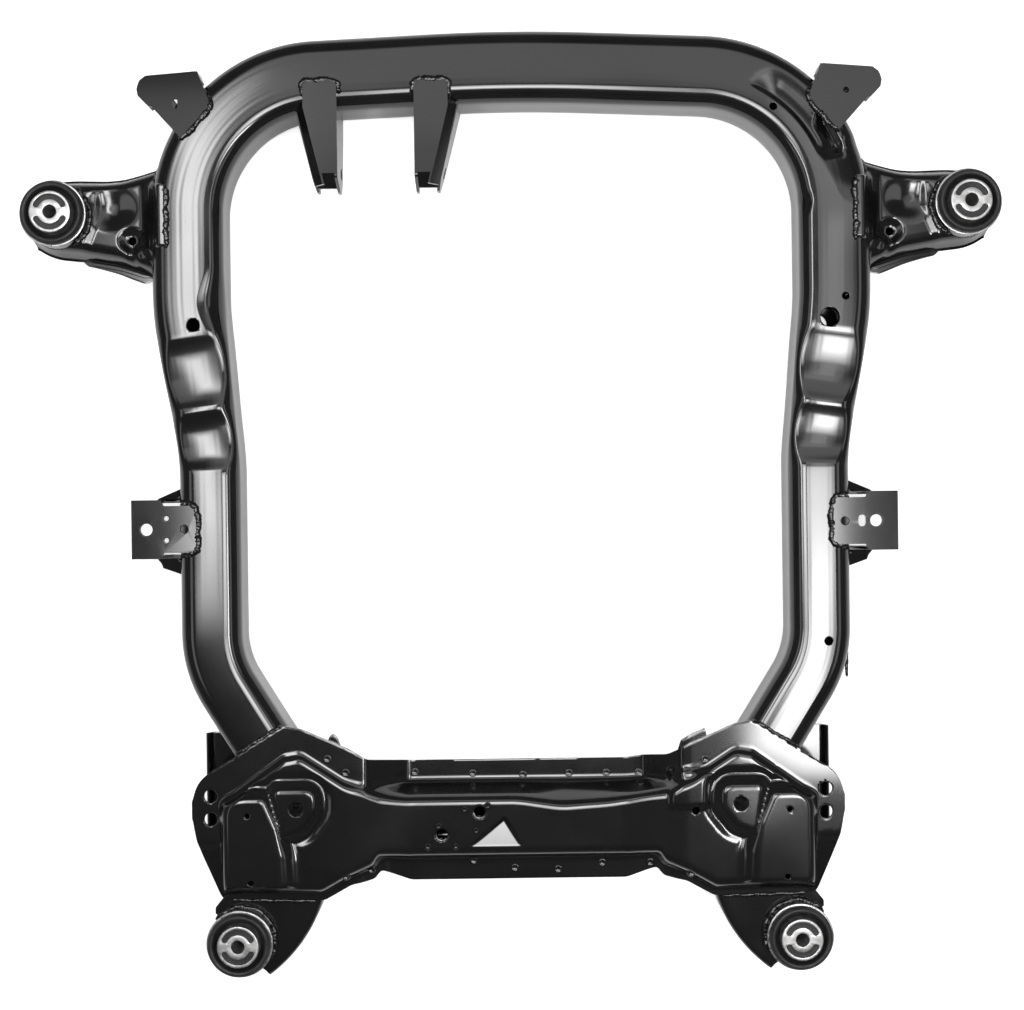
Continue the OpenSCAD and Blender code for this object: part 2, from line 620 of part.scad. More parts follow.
// Control arm brackets: a channel on each rail, with flared skirts at the rail
arm_bracket_y = beam_y + 300;
arm_bracket_x = rail_r + rail_w / 2;
arm_bolt_x = arm_bracket_x + 29;
arm_bolt_z = tube_top - 34;
arm_wall_d = 58;
neck_w = 47;
neck_l = 14;
wing_w = 15;
wing_l = 26;
module plate_hole(x, y, d) {
    translate([x, y, -1]) cylinder(d = d, h = plate_t + 2);
}
module control_arm_bracket(side) {
    half = arm_bracket_w / 2;
    lap = tube_r + 3;
    color([0.07, 0.07, 0.075]) mirror([side < 0 ? 1 : 0, 0, 0])
        translate([arm_bracket_x, arm_bracket_y, lap_z]) difference() {
            union() {
                linear_extrude(plate_t) polygon([
                    [-lap, -neck_w / 2 + 4], [-lap + 4, -neck_w / 2], [neck_l, -neck_w / 2],
                    [neck_l + 2, -half],
                    [arm_bracket_l, -half], [arm_bracket_l, half], [neck_l + 2, half], [neck_l, neck_w / 2],
                    [-lap + 4, neck_w / 2], [-lap, neck_w / 2 - 4]]);
                for (s = [0, 1]) mirror([0, s, 0]) {
                    translate([neck_l + 2, half - plate_t, -arm_wall_d])
                        cube([arm_bracket_l - neck_l - 2, plate_t, arm_wall_d + 1]);
                    translate([weld_gap, half - plate_t, -arm_wall_d])
                        cube([neck_l + 3, plate_t, arm_wall_d - 14]);
                    translate([weld_gap, half - 1, -30]) rotate([-35, 0, 0]) linear_extrude(plate_t)
                        polygon([[0, 0], [wing_l, 0], [0, wing_w]]);
                }
            }
            translate([arm_bolt_x - arm_bracket_x, -arm_bracket_w, arm_bolt_z - lap_z]) rotate([-90, 0, 0])
                cylinder(d = arm_bore_d, h = 2 * arm_bracket_w);
            plate_hole(-7, 0, 8);
            plate_hole(side < 0 ? arm_bracket_l - 15 : arm_bracket_l - 22, 0, 12);
            if (side < 0) for (s = [-1, 1]) plate_hole(neck_l - 3, 11 * s, 5);
            else plate_hole(neck_l - 4, 0, 8);
        }
}

perimeter_tube();
crossmember_upper();
crossmember_lower();
for (i = [0, 1]) {
    side = 2 * i - 1;
    front_arm_upper(side);
    front_arm_lower(side);
    at_front(side) sleeve();
    at_rear(side) sleeve();
    at_front(side) bush_shell();
    at_rear(side) bush_shell();
    at_front(side) bush_rubber();
    at_rear(side) bush_rubber();
    at_front(side) bush_core();
    at_rear(side) bush_core();
    rear_mount_bracket(side);
    corner_bracket(side);
    control_arm_bracket(side);
    rack_spacer(side);
}
engine_bracket(-1);  // engine_bracket_outer
engine_bracket(1);  // engine_bracket_inner
beam_weld_nuts();
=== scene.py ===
"""Looks of the front subframe: formed tube, stamped sheets, folded brackets, mounts and welds."""
import json
import math

import bmesh
import bpy
import numpy as np
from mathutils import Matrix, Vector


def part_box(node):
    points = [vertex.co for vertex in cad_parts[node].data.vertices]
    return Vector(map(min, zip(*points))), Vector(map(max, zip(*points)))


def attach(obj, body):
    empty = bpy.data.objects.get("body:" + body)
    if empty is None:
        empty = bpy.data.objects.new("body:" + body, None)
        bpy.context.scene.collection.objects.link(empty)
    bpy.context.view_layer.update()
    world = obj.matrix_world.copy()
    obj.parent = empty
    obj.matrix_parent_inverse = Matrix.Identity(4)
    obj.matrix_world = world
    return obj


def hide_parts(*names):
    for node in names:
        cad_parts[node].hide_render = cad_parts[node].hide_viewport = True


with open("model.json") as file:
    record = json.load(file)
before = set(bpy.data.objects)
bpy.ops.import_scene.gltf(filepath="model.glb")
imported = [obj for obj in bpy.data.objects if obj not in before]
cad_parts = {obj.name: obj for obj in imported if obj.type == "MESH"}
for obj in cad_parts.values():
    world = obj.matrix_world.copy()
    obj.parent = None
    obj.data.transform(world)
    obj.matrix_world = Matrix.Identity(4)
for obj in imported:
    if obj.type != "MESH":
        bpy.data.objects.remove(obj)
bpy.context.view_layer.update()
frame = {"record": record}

# Shapes are worked out in millimetres and turned into metres when a mesh is made.
MM = 0.001
SIDES = {"left": -1, "right": 1}
AXES = {"x": [2, 0, 1], "y": [0, 2, 1], "z": [0, 1, 2]}


# Reference sizes, read from the frame
def box_mm(node):
    """Lowest and highest corner of a CAD node, in millimetres."""
    low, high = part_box(node)
    return np.array(low) / MM, np.array(high) / MM


mounts = {m["name"]: np.array(m["pos_m"]) / MM for m in frame["record"]["mounts"]}
front_x, front_y = mounts["body_mount_front_right"][:2]
rear_x, rear_y = mounts["body_mount_rear_right"][:2]
rack_x, rack_y = mounts["steering_gear_right"][:2]
arm_bolt = mounts["control_arm_front_right"]
gusset_bolt = mounts["control_arm_rear_right"]
engine_bolt = mounts["engine_mount_bolt"]
beam_nuts = [mounts["beam_nut_left"], mounts["beam_nut_right"]]
tube_low, tube_high = box_mm("perimeter_tube")
_, beam_high = box_mm("crossmember_upper")

weld_gap = 0.3
tube_lift = tube_low[2]
tube_top = tube_high[2]
tube_wide = 72.0
rail_wide = 61.0
tube_wall = 2.5
rail_front = front_x - 134.5
rail_rear = arm_bolt[0] - 29 - rail_wide / 2
nose_y = tube_high[1] - tube_wide / 2
beam_y = rack_y - 21
half_w = beam_high[0]
pad_z = beam_high[2]
lap_z = tube_top + weld_gap


# Small functions of shape
def ease(start, end, x):
    """0 before start, 1 after end, smooth between."""
    k = np.clip((np.asarray(x, float) - start) / (end - start), 0, 1)
    return k * k * (3 - 2 * k)


def hump(x, middle, half):
    """Smooth bump, 1 at the middle and 0 past half."""
    d = np.clip(np.abs((np.asarray(x, float) - middle) / half), 0, 1)
    return (1 + np.cos(np.pi * d)) / 2


def dish(x, middle, half, soften):
    """Shallow arc, 1 at the middle, with its ends at half softened a little."""
    shifts = np.linspace(-soften, soften, 7)
    return np.mean([np.maximum(0, 1 - ((x + s - middle) / half) ** 2) for s in shifts], axis=0)


def mix(a, b, k):
    return a + (b - a) * k


def lookup(table, x, soften=0.0):
    """Value of a table of (x, value) rows, its corners softened over a width."""
    xs, values = np.array(table, float).T
    shifts = np.linspace(-soften, soften, 9) if soften else [0.0]
    return np.mean([np.interp(x + s, xs, values) for s in shifts], axis=0)


def unit(v):
    v = np.asarray(v, float)
    return v / np.linalg.norm(v, axis=-1, keepdims=True)


def polar(r, angle):
    return np.stack([r * np.cos(angle), r * np.sin(angle)], axis=-1)


def turned(v, degrees):
    a = math.radians(degrees)
    x, y = v[..., 0], v[..., 1]
    return np.stack([x * math.cos(a) - y * math.sin(a), x * math.sin(a) + y * math.cos(a)], axis=-1)


def segment_distance(p, a, b):
    along = b - a
    t = np.clip(((p - a) @ along) / (along @ along), 0, 1)
    return np.linalg.norm(p - a - t[..., None] * along, axis=-1)


def length_along(path):
    """Distance of each point of a path from its start."""
    return np.concatenate([[0], np.cumsum(np.linalg.norm(np.diff(path, axis=0), axis=1))])


def points_at(path, distances):
    """Points of a path at given distances from its start."""
    length = length_along(path)
    return np.stack([np.interp(distances, length, column) for column in path.T], axis=-1)


def wander(points, scale, amount, seed):
    """Slow smooth waves over points, as a pressed surface has."""
    rng = np.random.default_rng(seed)
    waves = np.zeros(points.shape[:-1])
    pitch = 2 * np.pi / scale
    for _ in range(5):
        direction = unit(rng.normal(size=3))
        waves += np.sin(points @ direction * pitch * rng.uniform(0.6, 1.6) + rng.uniform(0, 6.3))
    return amount * waves / 5


# Meshes
def quads(rows, cols, wrap=False):
    """Faces between neighbouring rows of a grid of points."""
    r = np.arange(rows - 1)[:, None] * cols
    c = np.arange(cols if wrap else cols - 1)[None, :]
    n = (c + 1) % cols
    return np.stack([r + c, r + n, r + cols + n, r + cols + c], axis=-1).reshape(-1, 4)


def capped(rows, cols):
    """Faces of a row of rings, shut at both ends."""
    ring = np.arange(cols)
    return [*quads(rows, cols, wrap=True), ring[::-1], ring + (rows - 1) * cols]


def closed_mesh(points, faces):
    """Blender mesh from millimetre points, with its faces turned outwards."""
    mesh = bpy.data.meshes.new("part")
    points = np.asarray(points).reshape(-1, 3) * MM
    mesh.from_pydata(points.tolist(), [], [list(map(int, f)) for f in faces])
    work = bmesh.new()
    work.from_mesh(mesh)
    bmesh.ops.recalc_face_normals(work, faces=work.faces)
    work.to_mesh(mesh)
    work.free()
    return mesh


def joined(parts):
    """Several (points, faces) shapes as one."""
    points, faces, first = [], [], 0
    for p, f in parts:
        p = np.asarray(p).reshape(-1, 3)
        points.append(p)
        faces += [[int(i) + first for i in face] for face in f]
        first += len(p)
    return np.concatenate(points), faces


def on_side(shape, s):
    """Shape drawn for the right side, mirrored where s is -1."""
    points, faces = shape
    return np.asarray(points).reshape(-1, 3) * [s, 1, 1], faces


def moved(shape, x, y, z=0.0):
    points, faces = shape
    return np.asarray(points) + [x, y, z], faces


def sheet(grid, thickness):
    """Closed sheet whose upper face is a grid of points, with rows along x and columns along y."""
    rows, cols = grid.shape[:2]
    normal = unit(np.cross(np.gradient(grid, axis=0), np.gradient(grid, axis=1)))
    count = rows * cols
    index = np.arange(count).reshape(rows, cols)
    rim = np.concatenate([index[0, :-1], index[:-1, -1], index[-1, :0:-1], index[:0:-1, 0]])
    ahead = np.roll(rim, -1)
    top = quads(rows, cols)
    faces = [*top, *(top + count), *np.stack([rim, ahead, ahead + count, rim + count], axis=-1)]
    return np.concatenate([grid.reshape(-1, 3), (grid - thickness * normal).reshape(-1, 3)]), faces


def lathe(profile, steps, centre=(0, 0, 0), axis="z", solid=True):
    """Turned shape from (radius, height) rows: capped at both ends, or closed on itself."""
    angle = np.linspace(0, 2 * np.pi, steps, endpoint=False)
    r, h = np.array(profile, float).T[..., None]
    rings = np.concatenate([polar(r, angle), np.repeat(h[:, None], steps, axis=1)], axis=-1)
    n = len(rings)
    faces = capped(n, steps) if solid else list(quads(n + 1, steps, wrap=True) % (n * steps))
    return rings[..., AXES[axis]].reshape(-1, 3) + np.array(centre), faces


def rod(r, low, high, steps, centre, axis="z"):
    return lathe([(r, low), (r, high)], steps, centre, axis)


def prism(outline, low, high):
    """Upright solid from an outline of (x, y) points."""
    outline = np.asarray(outline, float)
    n = len(outline)
    points = np.concatenate([np.column_stack([outline, np.full(n, z)]) for z in (low, high)])
    return points, capped(2, n)


def rounded_outline(corners, steps=6):
    """Outline through (x, y, radius) corners, each rounded by an arc."""
    points = []
    for i, (x, y, radius) in enumerate(corners):
        here = np.array([x, y], float)
        if radius <= 0:
            points.append(here)
            continue
        before = np.array(corners[i - 1][:2], float)
        after = np.array(corners[(i + 1) % len(corners)][:2], float)
        u, w = unit(before - here), unit(after - here)
        half = math.acos(np.clip(u @ w, -1, 1)) / 2
        room = 0.49 * min(np.linalg.norm(before - here), np.linalg.norm(after - here))
        reach = min(radius / math.tan(half), room)
        for t in np.linspace(0, 1, steps):
            points.append(here + u * reach * (1 - t) ** 2 + w * reach * t ** 2)
    return np.array(points)


def slot_cutter(half_x, half_y, r, low, high):
    corners = [(-half_x, -half_y, r), (half_x, -half_y, r), (half_x, half_y, r), (-half_x, half_y, r)]
    return prism(rounded_outline(corners), low, high)


def profiles(*keys):
    """Key points (stations, keys, 2) of profiles, from one (place, height) pair a key."""
    return np.stack([np.stack(np.broadcast_arrays(*key), axis=-1) for key in keys], axis=1)


def filleted(keys, reach, straight, bend):
    """Profiles through key points (stations, keys, 2), each inner corner rounded by a curve."""
    out, start = [], keys[:, 0]
    last = keys.shape[1] - 1
    for i in range(1, last + 1):
        before, here = keys[:, i - 1], keys[:, i]
        end = here
        if i < last:
            after = keys[:, i + 1]
            room = np.minimum(np.linalg.norm(before - here, axis=-1), np.linalg.norm(after - here, axis=-1))
            d = np.minimum(reach[i - 1], 0.46 * room)[:, None]
            end = here + unit(before - here) * d
            away = here + unit(after - here) * d
        t = np.linspace(0, 1, straight[i - 1], endpoint=False)[None, :, None]
        out.append(start[:, None] + (end - start)[:, None] * t)
        if i < last:
            t = np.linspace(0, 1, bend, endpoint=False)[None, :, None]
            out.append(end[:, None] * (1 - t) ** 2 + here[:, None] * 2 * t * (1 - t) + away[:, None] * t ** 2)
            start = away
    out.append(keys[:, -1:])
    return np.concatenate(out, axis=1)


def grid_from(xs, rows):
    """Grid of points from each station's x and its profile of (y, z) rows."""
    return np.concatenate([np.repeat(xs[:, None, None], rows.shape[1], axis=1), rows], axis=-1)


# Pieces
flat_area = 150.0
bevel_angle = 50.0
fold_tolerance = 0.05


def modify(obj, kind, **settings):
    """Puts a modifier on an object and turns the result into plain mesh."""
    modifier = obj.modifiers.new(kind.lower(), kind)
    for name, value in settings.items():
        setattr(modifier, name, value)
    view = bpy.context.evaluated_depsgraph_get()
    mesh = bpy.data.meshes.new_from_object(obj.evaluated_get(view))
    old = obj.data
    obj.modifiers.clear()
    obj.data = mesh
    bpy.data.meshes.remove(old)


def place_object(name, data):
    obj = bpy.data.objects.new(name, data)
    bpy.context.scene.collection.objects.link(obj)
    return obj


def combine(obj, shapes, operation="DIFFERENCE"):
    """Takes shapes that don't touch each other out of an object, or joins them to it."""
    tool = place_object("tool", closed_mesh(*joined(shapes)))
    modify(obj, "BOOLEAN", operation=operation, solver="MANIFOLD", object=tool)
    bpy.data.objects.remove(tool)


def bevel(obj, limit, width, segments):
    modify(obj, "BEVEL", limit_method=limit, angle_limit=math.radians(bevel_angle), width=width * MM,
           segments=segments)


def round_folds(obj, lines, radius):
    """Rounds the edges that lie on given lines, as a bend in sheet is."""
    mesh = obj.data
    points = np.array([v.co for v in mesh.vertices]) / MM
    weight = mesh.attributes.new("bevel_weight_edge", "FLOAT", "EDGE")
    for edge in mesh.edges:
        ends = points[list(edge.vertices)]
        on_fold = any(segment_distance(ends, *line).max() < fold_tolerance for line in lines)
        weight.data[edge.index].value = on_fold
    bevel(obj, "WEIGHT", radius, 6)


def flatten_shading(mesh):
    """Gives the corners of the large flat faces the normal of their face."""
    normals = [list(corner.vector) for corner in mesh.corner_normals]
    for face in mesh.polygons:
        if face.area > flat_area * MM ** 2:
            for i in face.loop_indices:
                normals[i] = list(face.normal)
    mesh.normals_split_custom_set(normals)


def piece(name, shape, coat, *nodes, adds=(), folds=(), cuts=(), edge=0.0, crease=38):
    """Finished piece: joined, folded, cut, its edges rounded, painted and put in place of CAD nodes."""
    obj = place_object(name, closed_mesh(*shape))
    for added in adds:
        combine(obj, [added], "UNION")
    if folds:
        round_folds(obj, *folds)
    for shapes in cuts:
        combine(obj, shapes)
    if edge:
        bevel(obj, "ANGLE", edge, 2)
    obj.data.shade_smooth()
    obj.data.set_sharp_from_angle(angle=math.radians(crease))
    if folds:
        modify(obj, "WEIGHTED_NORMAL", keep_sharp=True)
        flatten_shading(obj.data)
    obj.data.materials.clear()
    obj.data.materials.append(coat["material"])
    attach(obj, "root")
    if nodes:
        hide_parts(*nodes)


def drill(x, y, z, d, depth=12.0, lip=0.8):
    """Cutter for a round hole whose mouth, at height z, has a rounded lip."""
    r = d / 2
    turns = np.linspace(0, np.pi / 2, 5)
    mouth = [(r + lip * (1 - math.cos(t)), z - lip * (1 - math.sin(t))) for t in turns]
    return lathe([(r, z - depth), *mouth, (r + lip, z + 6)], 40, (x, y, 0))


# Materials
noise_range = (0.3, 0.7)


def shader(name):
    material = bpy.data.materials.new(name)
    material.use_nodes = True
    tree = material.node_tree
    return material, tree.nodes, tree.links, tree.nodes["Principled BSDF"]


def set_inputs(node, values):
    for socket, value in values.items():
        node.inputs[socket].default_value = value


def noise(nodes, links, scale, detail):
    """Noise in the object's own coordinates, in waves per metre."""
    place = nodes.new("ShaderNodeTexCoord")
    texture = nodes.new("ShaderNodeTexNoise")
    set_inputs(texture, {"Scale": scale, "Detail": detail})
    links.new(place.outputs["Object"], texture.inputs["Vector"])
    return texture.outputs["Fac"]


def finish(name, slot, colour, roughness, relief, settings):
    """Material whose colour, roughness and fine relief each follow a noise.

    Each is given as the noise's waves per metre and detail, then what it drives: the dark and the light
    colour, the least and the most roughness, or the height in millimetres."""
    low, high = noise_range
    material, nodes, links, bsdf = shader(name)
    ramp = nodes.new("ShaderNodeValToRGB")
    for element, position, shade in zip(ramp.color_ramp.elements, noise_range, colour[2:]):
        element.position = position
        element.color = (*shade, 1)
    links.new(noise(nodes, links, *colour[:2]), ramp.inputs["Fac"])
    links.new(ramp.outputs["Color"], bsdf.inputs["Base Color"])
    span = nodes.new("ShaderNodeMapRange")
    set_inputs(span, {"From Min": low, "From Max": high, "To Min": roughness[2], "To Max": roughness[3]})
    links.new(noise(nodes, links, *roughness[:2]), span.inputs["Value"])
    links.new(span.outputs["Result"], bsdf.inputs["Roughness"])
    bump = nodes.new("ShaderNodeBump")
    set_inputs(bump, {"Strength": 1.0, "Distance": relief[2] * MM})
    links.new(noise(nodes, links, *relief[:2]), bump.inputs["Height"])
    links.new(bump.outputs["Normal"], bsdf.inputs["Normal"])
    set_inputs(bsdf, settings)
    return {"material": material, "slot": slot}


paint = finish(
    "gloss_black_paint", "black_paint", (14, 4, (0.0035, 0.0035, 0.0038), (0.0075, 0.0075, 0.008)),
    (22, 6, 0.16, 0.26), (420, 2, 0.010),
    {"IOR": 1.25, "Coat Weight": 1.0, "Coat IOR": 1.6, "Coat Roughness": 0.10})
weld = finish(
    "painted_weld", "black_paint", (160, 4, (0.004, 0.004, 0.0042), (0.011, 0.011, 0.011)),
    (260, 4, 0.08, 0.22), (480, 3, 0.30), {"IOR": 1.6})
rubber = finish(
    "bush_rubber", "bush_rubber", (90, 6, (0.010, 0.010, 0.010), (0.024, 0.024, 0.024)),
    (140, 4, 0.42, 0.62), (900, 4, 0.05), {})
aluminium = finish(
    "cast_aluminium", "core_aluminium", (130, 8, (0.42, 0.41, 0.40), (0.70, 0.70, 0.70)),
    (210, 6, 0.34, 0.58), (620, 5, 0.10), {"Metallic": 1.0})
steel = finish(
    "plated_steel", "bare_steel", (120, 6, (0.36, 0.36, 0.37), (0.68, 0.68, 0.68)),
    (240, 4, 0.22, 0.42), (800, 3, 0.03), {"Metallic": 1.0})


# Perimeter tube: a bent path with a section that changes along it
tail_angle = math.radians(31.7)
tail_dir = np.array([-math.sin(tail_angle), -math.cos(tail_angle)])
tail_side = np.array([math.cos(tail_angle), -math.sin(tail_angle)])
tail_bend = np.array([rail_rear, beam_y + 163])
tail_l = 90.0
tail_mouth = tail_bend + tail_dir * tail_l
tail_lap = 20.0
tail_r = 110.0
offset_r = 300.0
front_bow = 14.0
nose_r = 1800.0
corner_r = 137.0
bow_angle = math.atan(front_bow / rail_front)
nose_lift = nose_r * (1 / math.cos(bow_angle) - 1)
offset_rear_y = front_y - 246
offset_front_y = front_y - 100
scallops = [(front_y - 163, 37), (front_y - 230.5, 30.5)]
scallop_depth = 6.0
scallop_soften = 2.5
tube_corner_r = 16.0
scallop_corner_r = 7.0
left_swell = 9.0
corner_middle = np.array([rail_front - corner_r, nose_y + nose_lift - front_bow * (1 - corner_r / rail_front)
                          - corner_r / math.cos(bow_angle)])
channel_depth = 3.6
pocket_depth = 8.5
facet_fall = 0.12
dent_depth = 3.0
crown_rise = 1.1
streak_rise = 0.009
streak_waves = ((5.1, 0), (7.7, 2), (12.3, 4))
press_room = 10.0
outer_step = 3.0
inner_step = 14.0
solid_step = 8.0


def front_line(x):
    return nose_y + nose_lift - front_bow * np.abs(x) / rail_front


def tube_corners():
    """Corner points of the path with their bend radii, from the right tail round to the left one."""
    right = [
        (tail_mouth + tail_dir * tail_lap, 0),
        (tail_bend, tail_r),
        (np.array([rail_rear, offset_rear_y]), offset_r),
        (np.array([rail_front, offset_front_y]), offset_r),
        (np.array([rail_front, front_line(rail_front)]), corner_r),
    ]
    left = [(p * [-1, 1], r) for p, r in right[::-1]]
    return [*right, (np.array([0, nose_y + nose_lift]), nose_r), *left]


def bent_path(corners, step):
    """Points and directions along straight runs joined by round bends."""
    points, directions = [], []
    start = corners[0][0]

    def run(a, b):
        n = max(1, int(np.linalg.norm(b - a) / step))
        for k in range(n):
            points.append(mix(a, b, k / n))
            directions.append(unit(b - a))

    for i in range(1, len(corners) - 1):
        here, radius = corners[i]
        u, w = unit(here - corners[i - 1][0]), unit(corners[i + 1][0] - here)
        swing = math.atan2(u[0] * w[1] - u[1] * w[0], u @ w)
        square = math.copysign(90, swing)
        reach = radius * math.tan(abs(swing) / 2)
        run(start, here - u * reach)
        middle = here - u * reach + turned(u, square) * radius
        n = max(2, int(abs(swing) * radius / step))
        for k in range(n):
            d = turned(u, math.degrees(swing) * k / n)
            points.append(middle - turned(d, square) * radius)
            directions.append(d)
        start = here + w * reach
    run(start, corners[-1][0])
    points.append(corners[-1][0])
    directions.append(unit(corners[-1][0] - corners[-2][0]))
    return np.array(points), np.array(directions)


def tube_sections(points, grow, arc, top_rows, side_rows):
    """Section outlines (stations, points, 2): distance outwards and height, from the outer side on."""
    x, y = points.T
    scallop = sum(dish(y, middle, half, scallop_soften) for middle, half in scallops)
    flat = 1 - np.minimum(1, scallop)
    half = mix(rail_wide, tube_wide, ease(offset_rear_y, offset_front_y, y)) / 2 + grow
    top = tube_top - scallop_depth * scallop + grow
    low = np.full_like(half, tube_lift - grow)
    outer_r = mix(tube_corner_r, scallop_corner_r, 1 - flat) + grow
    inner_r = outer_r + left_swell * (x < 0) * hump(y, front_y - 95, 40) * flat
    low_r = np.full_like(half, tube_corner_r + grow)
    turn = np.linspace(0, np.pi / 2, arc)[None, :]

    def corner(cu, cz, r, quarter):
        middle = np.stack([cu, cz], axis=-1)[:, None]
        return middle + polar(r[:, None], turn + quarter * np.pi / 2)

    arcs = [
        corner(half - outer_r, top - outer_r, outer_r, 0),
        corner(inner_r - half, top - inner_r, inner_r, 1),
        corner(low_r - half, low + low_r, low_r, 2),
        corner(half - low_r, low + low_r, low_r, 3),
    ]
    out = []
    for i, rows in enumerate((top_rows, side_rows, side_rows, side_rows)):
        a, b = arcs[i][:, -1], arcs[(i + 1) % 4][:, 0]
        t = np.linspace(0, 1, rows + 2)[1:-1][None, :, None]
        out += [arcs[i], a[:, None] + (b - a)[:, None] * t]
    return np.concatenate(out, axis=1)


def tube_rings(step, grow=0.0, arc=9, top_rows=34, side_rows=3):
    points, directions = bent_path(tube_corners(), step)
    section = tube_sections(points, grow, arc, top_rows, side_rows)
    outwards = turned(directions, -90)
    plan = points[:, None] + outwards[:, None] * section[..., :1]
    return np.concatenate([plan, section[..., 1:]], axis=-1), section


def corner_press(x, y, u):
    """Depth pressed into the right front corner, at a distance u outwards from the middle line."""
    across, ahead = x - corner_middle[0], y - corner_middle[1]
    angle = np.degrees(np.arctan2(ahead, across))
    fade = ease(70, 54, angle) * ease(20, 27, angle)
    channel = channel_depth * fade * ease(-9, -4, u) * (1 - ease(-4, 25, u))
    stretch = ease(40, 32, angle) * ease(18, 23.5, angle)
    pocket = pocket_depth * stretch * np.clip((u + 7) / 21, 0, 1) * (1 - ease(13, 19, u))
    ridge_u = mix(-6, 4, ease(48, 0, ahead))
    facet = facet_fall * np.maximum(0, u - ridge_u) * ease(-6, 30, ahead) * ease(25, 20, angle)
    dent = dent_depth * hump(ahead, 4, 12) * ease(-22, -33, u)
    return ((across > 0) & (ahead > -60)) * (np.maximum(channel, pocket) + facet + dent)


def pressed_top(rings, section):
    """Crown, drawing streaks, slow waves and press marks, on the tube's upper side."""
    x, y, u = rings[..., 0], rings[..., 1], section[..., 0]
    height = ease(tube_lift + 30, tube_top - 6, rings[..., 2])
    half = np.abs(u).max(axis=1, keepdims=True)
    crown = crown_rise * (1 - (u / half) ** 2)
    drawn = sum(np.sin(2 * np.pi * u / wave + shift + (x - y) / 300) for wave, shift in streak_waves)
    streaks = streak_rise * drawn * (0.35 + 0.65 * (x < 0) * ease(front_y - 150, front_y - 60, y))
    waves = wander(rings, scale=160, amount=0.5, seed=3)
    rise = height * (crown + streaks + waves - corner_press(x, y, u))
    return rings + rise[..., None] * [0, 0, 1]


def tube_shape():
    """Hollow tube: outer skin, plain inner skin and the two cut ends."""
    outer, section = tube_rings(outer_step)
    outer = pressed_top(outer, section)
    inner, _ = tube_rings(inner_step, grow=-tube_wall)
    inner[..., 2] = np.minimum(inner[..., 2], tube_top - tube_wall - press_room)
    n = outer.shape[1]
    skip = outer.shape[0] * n
    ring = np.arange(n)
    ahead = np.roll(ring, -1)
    faces = [*quads(outer.shape[0], n, wrap=True), *(quads(inner.shape[0], n, wrap=True) + skip)]
    for a, b in ((0, skip), (skip - n, skip + (inner.shape[0] - 1) * n)):
        faces += list(np.stack([ring + a, ahead + a, ahead + b, ring + b], axis=-1))
    return np.concatenate([outer.reshape(-1, 3), inner.reshape(-1, 3)]), faces


def tube_solid():
    """Solid round the tube, a weld gap larger, that other pieces are cut by."""
    rings, _ = tube_rings(solid_step, grow=weld_gap, arc=6, top_rows=3, side_rows=1)
    return rings.reshape(-1, 3), capped(*rings.shape[:2])


drain_y = front_y - 115
mouth_z = tube_top + 1
tube_holes = [
    drill(7 - rail_front, drain_y, mouth_z, 13, 24),
    drill(rail_front - 8, drain_y, mouth_z, 19, 90),
    drill(rail_front + 8, drain_y + 21, mouth_z, 7, 24),
    drill(rail_front - 62, nose_y - 46, tube_top, 7, 24),
    drill(rail_rear + 6, tail_bend[1] + 17, mouth_z, 8, 24),
]
piece("tube", tube_shape(), paint, "perimeter_tube", cuts=[tube_holes], crease=45)


# Crossmember: outlines and levels of the two stampings
cross_t = 3.0
gusset_out = tail_mouth + tail_side * 62
gusset_in = tail_mouth - tail_side * 30
gusset_z = lap_z + cross_t
panel_z = gusset_z + 4.7
beam_z = 85.0
flange_z = 50.0
rear_flange_z = 61.5
front_outline = [
    (0, beam_y + 61), (110, beam_y + 61), (150, beam_y + 67), (170, beam_y + 79),
    (gusset_in[0] - 17, gusset_in[1] - 3), gusset_in, gusset_out, (half_w - 8, gusset_out[1] - 6),
    (half_w - 3, gusset_out[1] - 15), (half_w - 0.7, gusset_out[1] - 24), (half_w, gusset_out[1] - 31),
]
rear_outline = [
    (0, beam_y - 61), (110, beam_y - 61), (141, beam_y - 50), (146, beam_y - 58), (170, beam_y - 63),
    (197, beam_y - 78), (half_w - 25, beam_y - 75.5), (half_w - 8, beam_y - 24), (half_w - 3.5, beam_y - 8),
    (half_w - 1.2, beam_y + 6), (half_w, beam_y + 18),
]
front_flange = [
    (0, 22), (110, 22), (150, 26), (172, 34), (217, 24), (234, 30), (285, 35), (297, 32), (312, 20),
    (half_w, 0.3),
]
rear_flange = [(0, 23), (110, 23), (141, 14), (170, 9), (285, 8), (half_w, 0.3)]
front_run = [(-172, 7), (-120, 11), (0, 11), (43, 18), (90, 15), (130, 9), (172, 7), (290, 7), (half_w, 0.2)]
rear_run = [(0, 9), (120, 9), (170, 7), (285, 7), (half_w, 0.2)]
panel_levels = [(0, beam_z), (106, beam_z), (166, panel_z), (half_w, panel_z)]
flange_steps = {
    -1: [(106, flange_z), (113, flange_z + 0.9), (152, gusset_z - 1.3), (160, gusset_z)],
    1: [(121, flange_z), (128, flange_z + 0.9), (163, gusset_z - 1.3), (171, gusset_z)],
}
band_x = (half_w - 33, half_w - 27)
band_crease_y = beam_y - 9
band_rear_y = beam_y - 76
panel_arc = np.array([half_w - 70, beam_y + 17])
panel_arc_r = 37.0
pad_outline = rounded_outline([
    (half_w - 37, beam_y + 30, 26), (half_w - 37, beam_y - 63, 17), (half_w - 93, beam_y - 63, 10),
    (half_w - 91, beam_y - 26, 14), (half_w - 84, beam_y + 2, 14), (half_w - 72, beam_y + 30, 6)])
pad_rise = pad_z - panel_z + 1.5
pad_ramp = 12.0
boss_outline = rounded_outline([
    (rack_x + 21, rack_y + 17, 4), (rack_x + 14, rack_y - 27, 5), (rack_x - 4, rack_y - 20, 10),
    (rack_x - 17, rack_y - 3, 10), (rack_x - 17, rack_y + 17, 14)])
